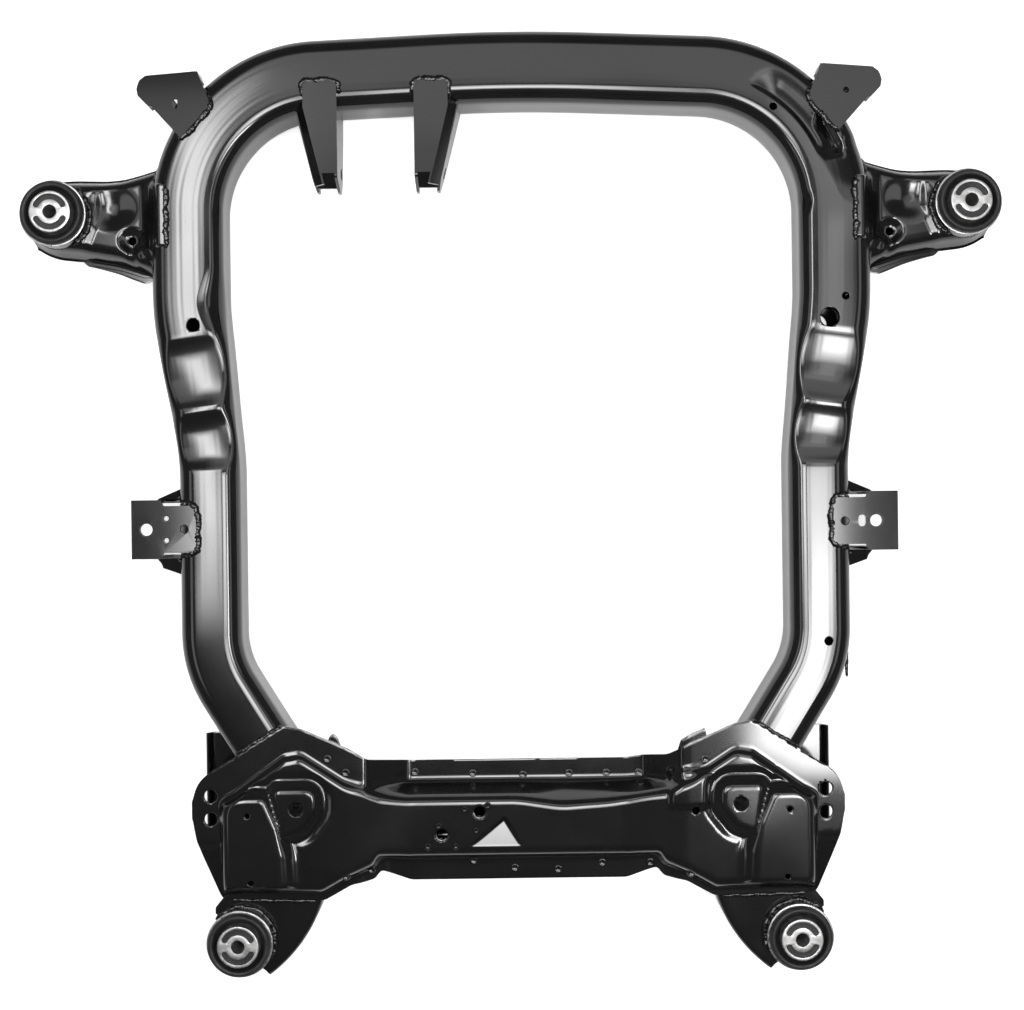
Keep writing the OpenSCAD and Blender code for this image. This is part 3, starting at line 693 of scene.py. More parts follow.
boss_rise = pad_z - panel_z
boss_ramp = 11.0
moat_depth = 2.0
moat_half = 9.0
land_low = np.array([153, beam_y + 18])
land_high = np.array([186, beam_y + 52])
land_rise = 3.5
facet_points = np.array([(-51, beam_y - 22), (4, beam_y - 22), (-14, beam_y + 8)], float)
facet_slope = 0.16


def soft_step(d, run, soft=2.0):
    """From 1 at d 0 down to 0 at d = run, straight, with both ends rounded."""
    def climb(t):
        return np.where(np.abs(t) < soft, (t + soft) ** 2 / (4 * soft), np.maximum(t, 0))
    return 1 - (climb(d) - climb(d - run)) / run


def from_outline(p, corners):
    """Distance of points from a convex outline that runs clockwise, less than 0 inside it."""
    sides = list(zip(corners, np.roll(corners, -1, axis=0)))
    away = np.min([segment_distance(p, a, b) for a, b in sides], axis=0)
    beyond = np.max([(p - a) @ turned(unit(b - a), 90) for a, b in sides], axis=0)
    return np.where(beyond < 0, -away, away)


def panel_relief(x, y):
    """Rise of the steering gear's pads and bosses over the panel, with a shallow moat round them."""
    p = np.stack([np.abs(x), y], axis=-1)
    from_pad, from_boss = from_outline(p, pad_outline), from_outline(p, boss_outline)
    slow = ease(beam_y, beam_y - 34, y) * ease(half_w - 70, half_w - 90, np.abs(x))
    pad_share = soft_step(from_pad, pad_ramp, mix(2, 5.5, slow))
    rise = np.maximum(pad_rise * pad_share, boss_rise * soft_step(from_boss, boss_ramp))
    near = np.minimum(from_pad - pad_ramp, from_boss - boss_ramp)
    return rise - moat_depth * hump(near, 0, moat_half) * (1 - slow)


def front_level(x):
    """Height of the front flange, which steps up to the gussets."""
    left, right = [lookup(flange_steps[s], np.abs(x), 1.6) for s in (-1, 1)]
    return np.where(x < 0, left, right)


def rear_level(a):
    """Height of the rear flange, which steps up to the mounts' brackets."""
    return mix(flange_z, rear_flange_z, ease(128, 165, a))


def beam_relief(x, y):
    """Rise of the land beside the right boss, less the sloping facet behind the beam's bolt holes."""
    land = (ease(-4, 2, x - land_low[0]) * (1 - ease(-2, 8, x - land_high[0]))
            * ease(-4, 3, y - land_low[1]) * (1 - ease(-2, 4, y - land_high[1])))
    inside = np.full(np.shape(x), 1.0)
    for a, b in zip(facet_points, np.roll(facet_points, -1, axis=0)):
        n = turned(unit(b - a), 90)
        inside = inside * ease(-1.5, 2.5, (x - a[0]) * n[0] + (y - a[1]) * n[1])
    return land_rise * land - inside * facet_slope * np.maximum(0, y - facet_points[0, 1])


def side_band(x, y):
    """Height of the low band round the stamping's ends, and its share over the panel."""
    fall = np.clip((band_crease_y - y) / (band_crease_y - band_rear_y), 0, 1.1)
    level = gusset_z - (gusset_z - rear_flange_z) * fall * ease(0, 0.15, fall)
    across, along = np.abs(x) - panel_arc[0], y - panel_arc[1]
    past_arc = np.where((across > 0) & (along > 0), np.hypot(across, along) - panel_arc_r, -1)
    return level, np.maximum(ease(*band_x, np.abs(x)), ease(0, 7, past_arc))


def upper_grid():
    """Upper face of the upper stamping."""
    ends = np.concatenate([np.arange(200, half_w - 12, 1.7), np.linspace(half_w - 12, half_w - 0.05, 14)])
    middle = [np.arange(-198, -62, 2.5), np.arange(-60, 12, 1.0), np.arange(12, 199, 2.5)]
    xs = np.concatenate([-ends[::-1], *middle, ends])
    a = np.abs(xs)
    rear, front = lookup(rear_outline, a, 2.5), lookup(front_outline, a, 2.5)
    rear_foot = rear + lookup(rear_flange, a, 5)
    rear_top = rear_foot + lookup(rear_run, a, 5)
    front_foot = front - lookup(front_flange, a, 5)
    front_top = front_foot - lookup(front_run, xs, 8)
    rear_z, panel, front_z = rear_level(a), lookup(panel_levels, a, 4), front_level(xs)
    keys = profiles((rear, rear_z), (rear_foot, rear_z), (rear_top, panel),
                    (front_top, panel), (front_foot, front_z), (front, front_z))
    grid = grid_from(xs, filleted(keys, reach=(6, 8, 8, 6), straight=(7, 5, 60, 5, 9), bend=8))
    x, y, z = np.moveaxis(grid, -1, 0)
    high = ease(0.75, 1, (z - gusset_z) / (panel_z - gusset_z)) * ease(150, 175, np.abs(x))
    grid[..., 2] = mix(z + high * panel_relief(x, y) + beam_relief(x, y), *side_band(x, y))
    grid[..., 2] += wander(grid, scale=120, amount=0.25, seed=11)
    return grid


upper_face = upper_grid()
upper_holes = [drill(*p[:2], beam_z, 13) for p in beam_nuts]
upper_holes.append(drill(177, beam_y + 13, panel_z - 2, 7, 16))
for s in SIDES.values():
    for dy in (-11.5, 11.5):
        upper_holes.append(drill(s * gusset_bolt[0], gusset_bolt[1] + dy, gusset_z, 13.5))
    upper_holes.append(drill(s * rack_x, rack_y, pad_z, 14))
    for x, dy in ((269, 15), (266, -52)):
        upper_holes.append(drill(s * x, beam_y + dy, pad_z, 5))
piece("crossmember_top", sheet(upper_face, cross_t), paint, "crossmember_upper",
      cuts=[upper_holes], edge=0.6)


# Lower stamping of the crossmember: a tray, open where the tube and the control arms enter
tray_z = tube_lift - weld_gap
tray_half_w = half_w - 5
tray_rim = 8.0
tube_entry_x = (gusset_in[0] - 28, gusset_in[0] - 17)
wing_x = (half_w - 41, half_w - 34)
wing_y = tail_mouth[1] + 2
tray_setback = [(0, 1), (150, 1), (184, 15), (wing_x[0], 15), (wing_x[1], 1)]
tray_tab = 8.0
left_tab_x = -183.5
left_tab_half = 8.0
bracket_t = 4.5
bracket_top = rear_flange_z - cross_t - weld_gap


def tray_tabs(xs):
    """Share of the tabs on the tray's front edge: a square one on the right and a round one on the left."""
    square = ease(158, 164, xs) * (1 - ease(187, 192, xs))
    return square + np.sqrt(np.maximum(0, 1 - ((xs - left_tab_x) / left_tab_half) ** 2))


def tray_grid():
    """Inner face of the tray."""
    fine = np.concatenate([
        np.arange(0, 156, 4.0), np.arange(156, 204, 1.0), np.arange(204, tray_half_w - 6, 2.5),
        np.linspace(tray_half_w - 6, tray_half_w, 5)])
    xs = np.concatenate([-fine[:0:-1], fine])
    a = np.abs(xs)
    front_table = [p for p in front_outline if p[0] < wing_x[0]]
    front_table += [(wing_x[0], lookup(front_outline, wing_x[0])), (wing_x[1], wing_y), (half_w, wing_y)]
    setback = mix(lookup(tray_setback, a), -tray_tab, tray_tabs(xs))
    rear, front = lookup(rear_outline, a, 2) + 1, lookup(front_table, a, 2) - setback
    rear_foot = rear + np.maximum(6, lookup(rear_flange, a))
    front_foot = front - np.maximum(10, lookup(front_flange, a) - 10)
    rim = tray_rim * ease(tray_half_w - 5, tray_half_w, a)
    below = cross_t + weld_gap
    shut = mix(rear_level(a) - below, bracket_top - bracket_t - weld_gap, ease(150, 180, a))
    rear_z = mix(shut, tray_z, ease(wing_x[0] - 1, band_x[0] + 3, a)) + rim
    front_z = mix(front_level(xs) - below, tray_z, ease(*tube_entry_x, a)) + rim
    keys = profiles((rear, rear_z), (rear_foot, rear_z), (rear_foot + 9, tray_z + rim),
                    (front_foot - 11, tray_z + rim), (front_foot, front_z), (front, front_z))
    return grid_from(xs, filleted(keys, reach=(6, 8, 8, 6), straight=(4, 4, 16, 4, 4), bend=6))


tray_holes = [drill(s * rack_x, rack_y, tray_z, 14) for s in SIDES.values()]
piece("crossmember_tray", sheet(tray_grid(), cross_t), paint, "crossmember_lower",
      cuts=[tray_holes], edge=0.6)


# Front mount arms: an upper and a lower stamping on each side
arm_t = 2.5
arm_z = 57.0
arm_seam_z = 34.0
arm_low_z = 16.0
arm_root = rail_front + tube_wide / 2 - tube_corner_r
arm_reach = front_x - arm_root
arm_front = [
    (0, 53), (0.1, 51), (0.3, 44), (0.45, 39.5), (0.6, 38), (0.9, 39), (1.04, 38), (1.16, 33), (1.24, 26)]
arm_rear = [(0, -70), (0.15, -64), (0.26, -56), (0.5, -47), (0.8, -41), (1.04, -38), (1.16, -33), (1.24, -26)]
arm_end = arm_front[-1][0]
arm_front_run = 7.0
arm_rear_run = [(0, 20), (0.26, 8)]
tongue_fall = [(0, 1), (0.07, 1), (0.165, 0.22), (0.25, 0)]
seat_x = front_x - 41
seat_rise = 2.2
scoop = {"share": 0.52, "y": 8.0, "half_x": 30.0, "half_y": 28.0, "depth": 4.0}
arm_hole = np.array([arm_root + 0.35 * arm_reach, front_y - 25])
funnel_depth = 5.0
gutter_depth = 3.0
sleeve_d = 65.0


def arm_outline(share):
    return front_y + lookup(arm_rear, share, 0.05), front_y + lookup(arm_front, share, 0.05)


def arm_relief(x, y):
    """Rise of the arm's upper face: tongue on the tube, seat at the mount, scoop, funnel and gutter."""
    share, dy = (x - arm_root) / arm_reach, y - front_y
    across = ease(-47, -34, dy) * (1 - ease(25, 38, dy))
    rise = (lap_z + arm_t - arm_z) * lookup(tongue_fall, share, 0.02) * across
    rise = rise + seat_rise * ease(-5, 5, x - seat_x - 0.4 * np.maximum(0, -dy))
    from_scoop = np.hypot((share - scoop["share"]) * arm_reach / scoop["half_x"],
                          (dy - scoop["y"]) / scoop["half_y"])
    rise = rise - scoop["depth"] * (1 - ease(0.1, 1, from_scoop))
    from_hole = np.hypot(x - arm_hole[0], y - arm_hole[1])
    gutter = hump(x, arm_hole[0], 8) * (1 - ease(arm_hole[1] - 12, arm_hole[1], y))
    return rise - funnel_depth * (1 - ease(4.5, 15, from_hole)) - gutter_depth * gutter


def arm_upper_grid():
    """Upper face of the right arm, from the lip behind it to its front seam."""
    share = np.linspace(0, arm_end, 110)
    rear, front = arm_outline(share)
    lip = 4.5 * ease(0.2, 0.3, share) * (1 - ease(0.72, 0.82, share))
    keys = profiles((rear - lip - 0.5, arm_seam_z), (rear, arm_seam_z),
                    (rear + lookup(arm_rear_run, share, 0.03), arm_z),
                    (front - arm_front_run, arm_z), (front, arm_seam_z))
    rows = filleted(keys, reach=(4, 9, 9), straight=(4, 6, 64, 8), bend=10)
    grid = grid_from(arm_root + arm_reach * share, rows)
    x, y, z = np.moveaxis(grid, -1, 0)
    grid[..., 2] = z + ease(arm_seam_z + 6, arm_z, z) * arm_relief(x, y)
    return grid


def arm_lower_grid():
    """Inner face of the right arm's lower stamping."""
    share = np.linspace(0, arm_end, 56)
    rear, front = arm_outline(share)
    rim, floor = arm_seam_z - arm_t - weld_gap, arm_low_z + arm_t
    lip = 10.0 * ease(0.16, 0.3, share) * (1 - 0.45 * ease(0.3, 0.8, share)) * (1 - ease(0.78, 0.86, share))
    keys = profiles((rear - lip - 0.5, rim), (rear, rim), (rear + 6, floor), (front - 6, floor), (front, rim))
    rows = filleted(keys, reach=(3, 6, 6), straight=(4, 4, 14, 6), bend=6)
    return grid_from(arm_root + arm_reach * share, rows)


def sleeve_room(x, y):
    """Room for a mount's sleeve."""
    return rod(sleeve_d / 2 + weld_gap, -5, 120, 96, (x, y, 0))


arm_room = sleeve_room(front_x, front_y)
arm_shapes = {
    "front_arm_upper": (sheet(arm_upper_grid(), arm_t), [arm_room, drill(*arm_hole, arm_z - 4, 8.5, 16)]),
    "front_arm_lower": (sheet(arm_lower_grid(), arm_t), [arm_room]),
}
for side, s in SIDES.items():
    for name, (shape, cutters) in arm_shapes.items():
        piece(f"{name}_{side}_stamping", on_side(shape, s), paint, f"{name}_{side}",
              cuts=[[tube_solid()], *[[on_side(cutter, s)] for cutter in cutters]], edge=0.5)


# Body mounts: sleeve, pressed shell, rubber and metal core, turned about an upright axis
core_low, core_high = box_mm("front_bush_core_right")
shell_low, shell_high = box_mm("front_bush_shell_right")
sleeve_low, sleeve_top = [corner[2] for corner in box_mm("front_sleeve_right")]
bush_h = core_high[2]
bush_r = (shell_high[0] - shell_low[0]) / 2
core_r = (core_high[0] - core_low[0]) / 2
sleeve_t = 3.0
shell_r = sleeve_d / 2 - sleeve_t - 0.1
shell_t = 1.4
shell_show = 1.7
rim_t = 2.0
bore_r = 6.5
kidney_r = 15.0
kidney_w = 6.0
kidney_depth = 18.0
kidney_sweep = 62.0
kidney_angles = (90, 270)
kidney_fill_top = bush_h - 3.5
fill_gap = 0.1
turned_steps = 96


def ring_shape(corners, steps=turned_steps):
    """Turned ring from (radius, height, rounding) corners of its section."""
    return lathe(rounded_outline(corners, 5), steps, solid=False)


def pipe_shape(bore, out, low, top, steps=turned_steps):
    return ring_shape([(bore, low, 0.6), (out, low, 0.8), (out, top, 0.8), (bore, top, 0.6)], steps)


def shell_shape():
    bore, seat, rim_top = shell_r - shell_t, sleeve_top + 0.1, sleeve_top + rim_t
    return ring_shape([
        (bore, sleeve_low, 0.4), (shell_r, sleeve_low, 0.4), (shell_r, seat, 0), (bush_r, seat, 0.6),
        (bush_r, rim_top, 0.9), (bore, rim_top, 0.4)])


def rubber_shape():
    """Rubber with a rounded rim, a dished face, a groove round the core and fills in the core's slots."""
    inside, outside, rim = core_r + 0.1, shell_r - shell_t - 0.1, bush_r - shell_show
    lip_low, top = sleeve_top + rim_t + 0.1, bush_h - 3
    ring = ring_shape([
        (inside, sleeve_low + 4, 1), (outside, sleeve_low, 1.5), (outside, lip_low, 0), (rim, lip_low, 0.6),
        (rim, top - 3.5, 3), (bush_r - 4.5, top, 3), (core_r + 5, top - 1.2, 2.5), (core_r + 3.2, top - 9, 2),
        (inside, top - 12, 1)])
    fill_low = bush_h - kidney_depth + fill_gap
    return joined([ring, *[kidney(a, fill_low, kidney_fill_top, fill_gap) for a in kidney_angles]])


def kidney(middle_angle, low, high, gap=0.0):
    """Round-ended arc solid, as a slot in the core's upper face, less a gap on every side."""
    half = kidney_w / 2 - gap
    sweep = np.radians(np.linspace(-kidney_sweep, kidney_sweep, 28) + middle_angle)
    end = np.linspace(0, np.pi, 9)[1:-1]
    outline = np.concatenate([
        polar(kidney_r + half, sweep), polar(kidney_r, sweep[-1]) + polar(half, sweep[-1] + end),
        polar(kidney_r - half, sweep)[::-1], polar(kidney_r, sweep[0]) + polar(half, sweep[0] - np.pi + end)])
    return prism(outline, low, high)


def core_shape():
    return ring_shape([(bore_r, 0, 0.8), (core_r, 0, 1.2), (core_r, bush_h, 1.4), (bore_r, bush_h, 0.9)])


sleeve = pipe_shape(sleeve_d / 2 - sleeve_t, sleeve_d / 2, sleeve_low, sleeve_top)
core_slots = [kidney(a, bush_h - kidney_depth, bush_h + 3) for a in kidney_angles]
for end, x0, y0 in (("front", front_x, front_y), ("rear", rear_x, rear_y)):
    for side, s in SIDES.items():
        place = (s * x0, y0)
        tag = f"{end}_{side}"
        piece(f"mount_sleeve_{tag}", moved(sleeve, *place), paint, f"{end}_sleeve_{side}")
        piece(f"mount_shell_{tag}", moved(shell_shape(), *place), steel, f"{end}_bush_shell_{side}")
        piece(f"mount_rubber_{tag}", moved(rubber_shape(), *place), rubber, f"{end}_bush_rubber_{side}")
        piece(f"mount_core_{tag}", moved(core_shape(), *place), aluminium, f"{end}_bush_core_{side}",
              cuts=[[moved(slot, *place) for slot in core_slots]], edge=0.5)


# Folded brackets
plate_t = 3.0


def at_angle(shape, degrees, x, y):
    """Shape turned about z, then moved."""
    points = np.asarray(shape[0], float).reshape(-1, 3)
    return np.column_stack([turned(points[:, :2], degrees), points[:, 2]]) + [x, y, 0], shape[1]


def bracket_place(s, x, y, degrees=0.0, fall=0.0, middle_x=0.0):
    """Function that moves points from a bracket's own frame to its place, mirrored where s is -1."""
    def place(points):
        points = np.array(points, float).reshape(-1, 3)
        plan = turned(points[:, :2], degrees) + [x, y]
        height = points[:, 2] - fall * points[:, 0] + lap_z
        return np.column_stack([plan, height]) * [s, 1, 1] + [middle_x, 0, 0]
    return place


def box_shape(low, high):
    (x0, y0, z0), (x1, y1, z1) = low, high
    return prism([(x0, y0), (x1, y0), (x1, y1), (x0, y1)], z0, z1)


def upright_plate(outline, low, high):
    """Plate standing along y: an outline of (y, z) points between two values of x."""
    points, faces = prism(outline, low, high)
    return points[:, [2, 0, 1]], faces


def strip_shape(p, q, low, high):
    """Wall of sheet on an edge from p to q, inside the edge."""
    p, q = np.array(p, float), np.array(q, float)
    n = turned(unit(q - p), 90) * plate_t
    return prism([p, q, q + n, p + n], low, high)


def folded(name, place, shapes, folds, node, cuts=(), radius=4.5):
    """Bracket of flat walls, joined, with the folds on its plate's face rounded, in place's frame."""
    walls = [(place(points), faces) for points, faces in shapes]
    lines = [tuple(place([(*p, plate_t), (*q, plate_t)])) for p, q in folds]
    tools = [[(place(points), faces) for points, faces in group] for group in cuts]
    piece(name, walls[0], paint, node, adds=walls[1:], folds=(lines, radius), cuts=tools, edge=0.5, crease=16)


# Rear mount brackets: a plate below each gusset, folded down round its outer arc
skirt_r = 150.0
skirt_d = 38.0
skirt_fold_r = 6.0
skirt_middle = np.array([61, rear_y + 84])
skirt_angles = (191.6, 233.8)
bracket_edge = np.array([
    (16, beam_y - 64), (18, beam_y - 74), (27, beam_y - 85), (27, beam_y - 91), (22, beam_y - 95),
    (10, rear_y), (-10, rear_y - 10), (-20, rear_y - 29)], float)


def rear_bracket_grid():
    """Upper face for the right side, from the outer edge of the plate over the fold and down the skirt."""
    plate_rows, fold_rows, wall_rows = 16, 9, 5
    share = np.linspace(0, 1, 64)
    start = points_at(bracket_edge, share * length_along(bracket_edge)[-1])
    out = polar(1.0, np.radians(mix(*skirt_angles, share)))
    rim = skirt_middle + out * (skirt_r - skirt_fold_r)
    plate = start[:, None] + (rim - start)[:, None] * np.linspace(0, 1, plate_rows)[None, :, None]
    turn = np.linspace(0, np.pi / 2, fold_rows)[1:]
    fold = rim[:, None] + out[:, None] * skirt_fold_r * np.sin(turn)[None, :, None]
    wall = np.repeat((skirt_middle + out * skirt_r)[:, None], wall_rows, axis=1)
    drop = skirt_d * (0.1 + 0.9 * ease(0.08, 0.2, share)) - bracket_t
    heights = [
        np.zeros((len(share), plate_rows)),
        np.repeat(-skirt_fold_r * (1 - np.cos(turn))[None], len(share), axis=0),
        -skirt_fold_r - drop[:, None] * np.linspace(0.2, 1, wall_rows)[None],
    ]
    plan = np.concatenate([plate, fold, wall], axis=1)
    z = bracket_top + np.concatenate(heights, axis=1)
    return np.concatenate([plan + [rear_x, 0], z[..., None]], axis=-1)[::-1]


rear_bracket = sheet(rear_bracket_grid(), bracket_t)
for side, s in SIDES.items():
    piece(f"rear_mount_plate_{side}", on_side(rear_bracket, s), paint, f"rear_mount_bracket_{side}",
          cuts=[[on_side(sleeve_room(rear_x, rear_y), s)]], edge=0.5)


# Corner brackets, in a frame that points out of the tube's front bends
bracket_angle = 46.0
corner_seat = np.array([corner_r + tube_wide / 2 - tube_corner_r, -28])
corner_outline = [
    (-8, -22, 2), (35, -20.5, 3), (39, -22.3, 3), (54, -22.5, 4), (60, -18.5, 6), (64, -11, 6), (63, -3, 5),
    (29, 37, 4), (-1, 24.5, 3), (-5, 21.5, 2)]
corner_wall_d = 20.0
corner_fall = 0.08
corner_nut_r = 9.0


def corner_place(s):
    return bracket_place(s, *(turned(corner_seat, bracket_angle) + corner_middle), bracket_angle, corner_fall)


front_fold = [np.array(corner_outline[i][:2], float) for i in (2, 3)]
side_fold = [np.array(corner_outline[i][:2], float) for i in (7, 8)]
side_fold[1] = mix(*side_fold, 0.28)
corner_folds = [front_fold, side_fold]
corner_walls = [strip_shape(p, q, -corner_wall_d, plate_t) for p, q in corner_folds]
corner_holes = {
    "left": at_angle(slot_cutter(2.4, 5, 2.3, -18, plate_t + 3), -bracket_angle, 21, -1.8),
    "right": drill(27, 0, plate_t, 5, 20),
}
corner_nuts = {"left": (27.6, -8.6, 0), "right": (27, 0, 0)}
for side, s in SIDES.items():
    plate = prism(rounded_outline(corner_outline), 0, plate_t)
    nut = rod(corner_nut_r, -20, 1, 36, corner_nuts[side])
    folded(f"corner_tab_{side}", corner_place(s), [plate, *corner_walls, nut], corner_folds,
           f"corner_bracket_{side}", cuts=[[corner_holes[side]]], radius=6)


# Engine mount brackets: tapered channels that hang inside the front tube
engine_gap = 77.0
engine_w = (34.0, 14.5)
engine_wall_l = 80.0
engine_wall_d = 62.0
engine_plate_l = 66.0
engine_lap = 26.0
shoulder_w = 9.0
shoulder_d = 9.0
engine_nose_r = 8.0
web_l = 14.0
web_slope = 0.75
engine_off = -engine_bolt[0]
engine_y = float(front_line(engine_off + engine_gap / 2)) - tube_wide / 2
engine_drop = engine_bolt[2] - lap_z
taper = (engine_w[0] - engine_w[1]) / engine_wall_l


def engine_edge(y):
    """Place of the plate's far edge, which tapers from the tube's side to the tip."""
    return engine_w[0] + min(0, y) * taper


def engine_wall():
    """Side wall with a rounded nose round the bolt hole, between x 0 and the sheet's thickness."""
    tip, nose = -engine_wall_l, engine_nose_r
    outline = rounded_outline([
        (tube_corner_r, plate_t, 0), (tube_corner_r, -engine_wall_d, 2), (-12, -engine_wall_d, 10),
        (tip + 2 * nose, engine_drop - 2 * nose, 12), (tip, engine_drop - nose, 9),
        (tip, engine_drop + nose, 9), (-engine_plate_l - 4, plate_t, 4)], 7)
    return upright_plate(outline, 0, plate_t)


def shoulder(*ends):
    """Slanting strip of sheet along the plate's far edge, from the plate down to the far wall."""
    corners = []
    for y in ends:
        x = engine_edge(y)
        foot = x + shoulder_w
        corners += [(x - 2, y, plate_t), (x, y, plate_t), (foot, y, -shoulder_d),
                    (foot - plate_t, y, -shoulder_d), (x - 2, y, 0)]
    return np.array(corners), capped(2, 5)


def far_wall():
    points, faces = moved(engine_wall(), shoulder_w - plate_t, 0)
    points[:, 2] = np.minimum(points[:, 2], -shoulder_d + 0.5)
    return at_angle((points, faces), -math.degrees(math.atan(taper)), engine_w[0], 0)


def engine_web():
    """Sloping web between the walls, below the plate's tip."""
    web_end = web_l - engine_plate_l
    points, faces = box_shape((1, -engine_wall_l + 3, -6), (engine_w[1] + 8, web_end, -2))
    return points + (points[:, 1:2] - web_end) * [0, 0, web_slope], faces


def engine_place(s):
    return bracket_place(s, engine_gap / 2, engine_y, middle_x=-engine_off)


engine_plate = prism(rounded_outline([
    (0, engine_lap, 4), (engine_w[0], engine_lap, 4), (engine_w[0], 0, 0),
    (engine_edge(-engine_plate_l), -engine_plate_l, 3), (0, -engine_plate_l, 3)]), 0, plate_t)
engine_walls = [engine_wall(), shoulder(4, 3 - engine_wall_l), far_wall(), engine_web()]
engine_folds = [
    ((0, 0), (0, -engine_plate_l)), ((engine_w[0], 0), (engine_edge(-engine_plate_l), -engine_plate_l))]
engine_bore = rod(6, -80, 80, 40, (0, engine_bolt[1] - engine_y, engine_drop), axis="x")
for label, s in (("outer", -1), ("inner", 1)):
    tube_points, tube_faces = tube_solid()
    tube_room = (tube_points - engine_place(s)(np.zeros(3))) * [s, 1, 1], tube_faces
    folded(f"engine_mount_{label}", engine_place(s), [engine_plate, *engine_walls], engine_folds,
           f"engine_bracket_{label}", cuts=[[tube_room], [engine_bore]], radius=4)


# Control arm brackets: a channel on each rail with relief notches and flared skirts
arm_plate_l = 46.0
arm_plate_w = 59.0
arm_wall_d = 58.0
arm_plate_fall = 0.025
neck_w = 47.0
neck_l = 14.0
skirt_w = 15.0
skirt_l = 26.0
rear_skirt_extra = 7.0
flare_tilt = math.radians(35)
flare_z = -30.0
arm_plate_lap = tube_corner_r + 3
arm_plate_x = rail_rear + rail_wide / 2
arm_plate_y = arm_bolt[1]


def flare(k):
    """Small wing bent outwards at the foot of a wall, against the rail, larger at the rear."""
    near_w = skirt_w + rear_skirt_extra * (k < 0)
    far_w = 0.7 * skirt_w if k < 0 else 1
    outline = [(weld_gap, 0), (skirt_l, 0), (skirt_l - 1, far_w), (weld_gap, near_w)]
    points, faces = prism(outline, 0, plate_t)
    x, y, z = points.T
    across = y * math.cos(flare_tilt) + z * math.sin(flare_tilt)
    up = -y * math.sin(flare_tilt) + z * math.cos(flare_tilt)
    return np.stack([x, k * (across + arm_plate_w / 2 - 1), up + flare_z], axis=-1), faces


def arm_place(s):
    return bracket_place(s, arm_plate_x, arm_plate_y, fall=arm_plate_fall)


def channel_plate():
    half, neck = arm_plate_w / 2, neck_w / 2
    near = [(-arm_plate_lap, 4 - neck, 2), (4 - arm_plate_lap, -neck, 2), (neck_l, -neck, 1.5),
            (neck_l + 2, -half, 1), (arm_plate_l, -half, 1.5)]
    return prism(rounded_outline(near + [(x, -y, r) for x, y, r in near[::-1]], 4), 0, plate_t)


def channel_walls(k):
    """Wall, its foot below the relief notch, and its flare."""
    low, high = sorted((k * arm_plate_w / 2, k * (arm_plate_w / 2 - plate_t)))
    return [
        box_shape((neck_l + 2, low, -arm_wall_d), (arm_plate_l, high, plate_t)),
        box_shape((weld_gap, low, -arm_wall_d), (neck_l + 3, high, -14)),
        flare(k),
    ]


channel_shapes = [channel_plate(), *channel_walls(-1), *channel_walls(1)]
channel_folds = [((neck_l + 2, k * arm_plate_w / 2), (arm_plate_l, k * arm_plate_w / 2)) for k in (-1, 1)]
tool_holes = [drill(neck_l - 3, 11 * k, plate_t, 5) for k in (-1, 1)]
channel_holes = {
    "left": [drill(arm_plate_l - 15, 0, plate_t, 12), *tool_holes],
    "right": [drill(arm_plate_l - 22, 0, plate_t, 12), moved(slot_cutter(3.8, 5.8, 3.7, -4, 8), 10, 0)],
}
arm_bore = rod(6.5, -60, 60, 40, (arm_bolt[0] - arm_plate_x, 0, arm_bolt[2] - lap_z), axis="y")
for side, s in SIDES.items():
    holes = [drill(-7, 0, plate_t, 8), *channel_holes[side]]
    folded(f"control_arm_channel_{side}", arm_place(s), channel_shapes, channel_folds,
           f"control_arm_bracket_{side}", cuts=[holes, [arm_bore]])


# Spacers and nuts between the two stampings of the crossmember
spacer = pipe_shape(7, 10, tray_z, pad_z - cross_t - 2 * weld_gap, 48)
for side, s in SIDES.items():
    piece(f"spacer_tube_{side}", moved(spacer, s * rack_x, rack_y), steel, f"rack_spacer_{side}")

nut_h = 9.0
nut_top = beam_z - cross_t - weld_gap
nut_corners = [(*polar(11, a), 1.2) for a in np.radians(np.arange(0, 360, 60))]
nut = prism(rounded_outline(nut_corners, 4), nut_top - nut_h, nut_top)
nut_bores = [rod(5.5, nut_top - nut_h - 2, nut_top + 2, 40, (*p[:2], 0)) for p in beam_nuts]
piece("beam_nuts", joined([moved(nut, *p[:2]) for p in beam_nuts]), paint, "beam_weld_nuts",
      cuts=[nut_bores], edge=0.6)


# Weld beads
bead_step = 0.8
bead_sides = 12
ripple_pitch = 3.8
sway_pitch = 23.0


def resampled(path, step):
    """Points at even steps along a path whose corners are rounded, and their distances."""
    path = np.asarray(path, float)
    for _ in range(2):
        cut = np.stack([mix(path[:-1], path[1:], 0.25), mix(path[:-1], path[1:], 0.75)], axis=1)
        path = np.concatenate([path[:1], cut.reshape(-1, 3), path[-1:]])
    total = length_along(path)[-1]
    s = np.linspace(0, total, max(6, int(total / step)))
    return points_at(path, s), s


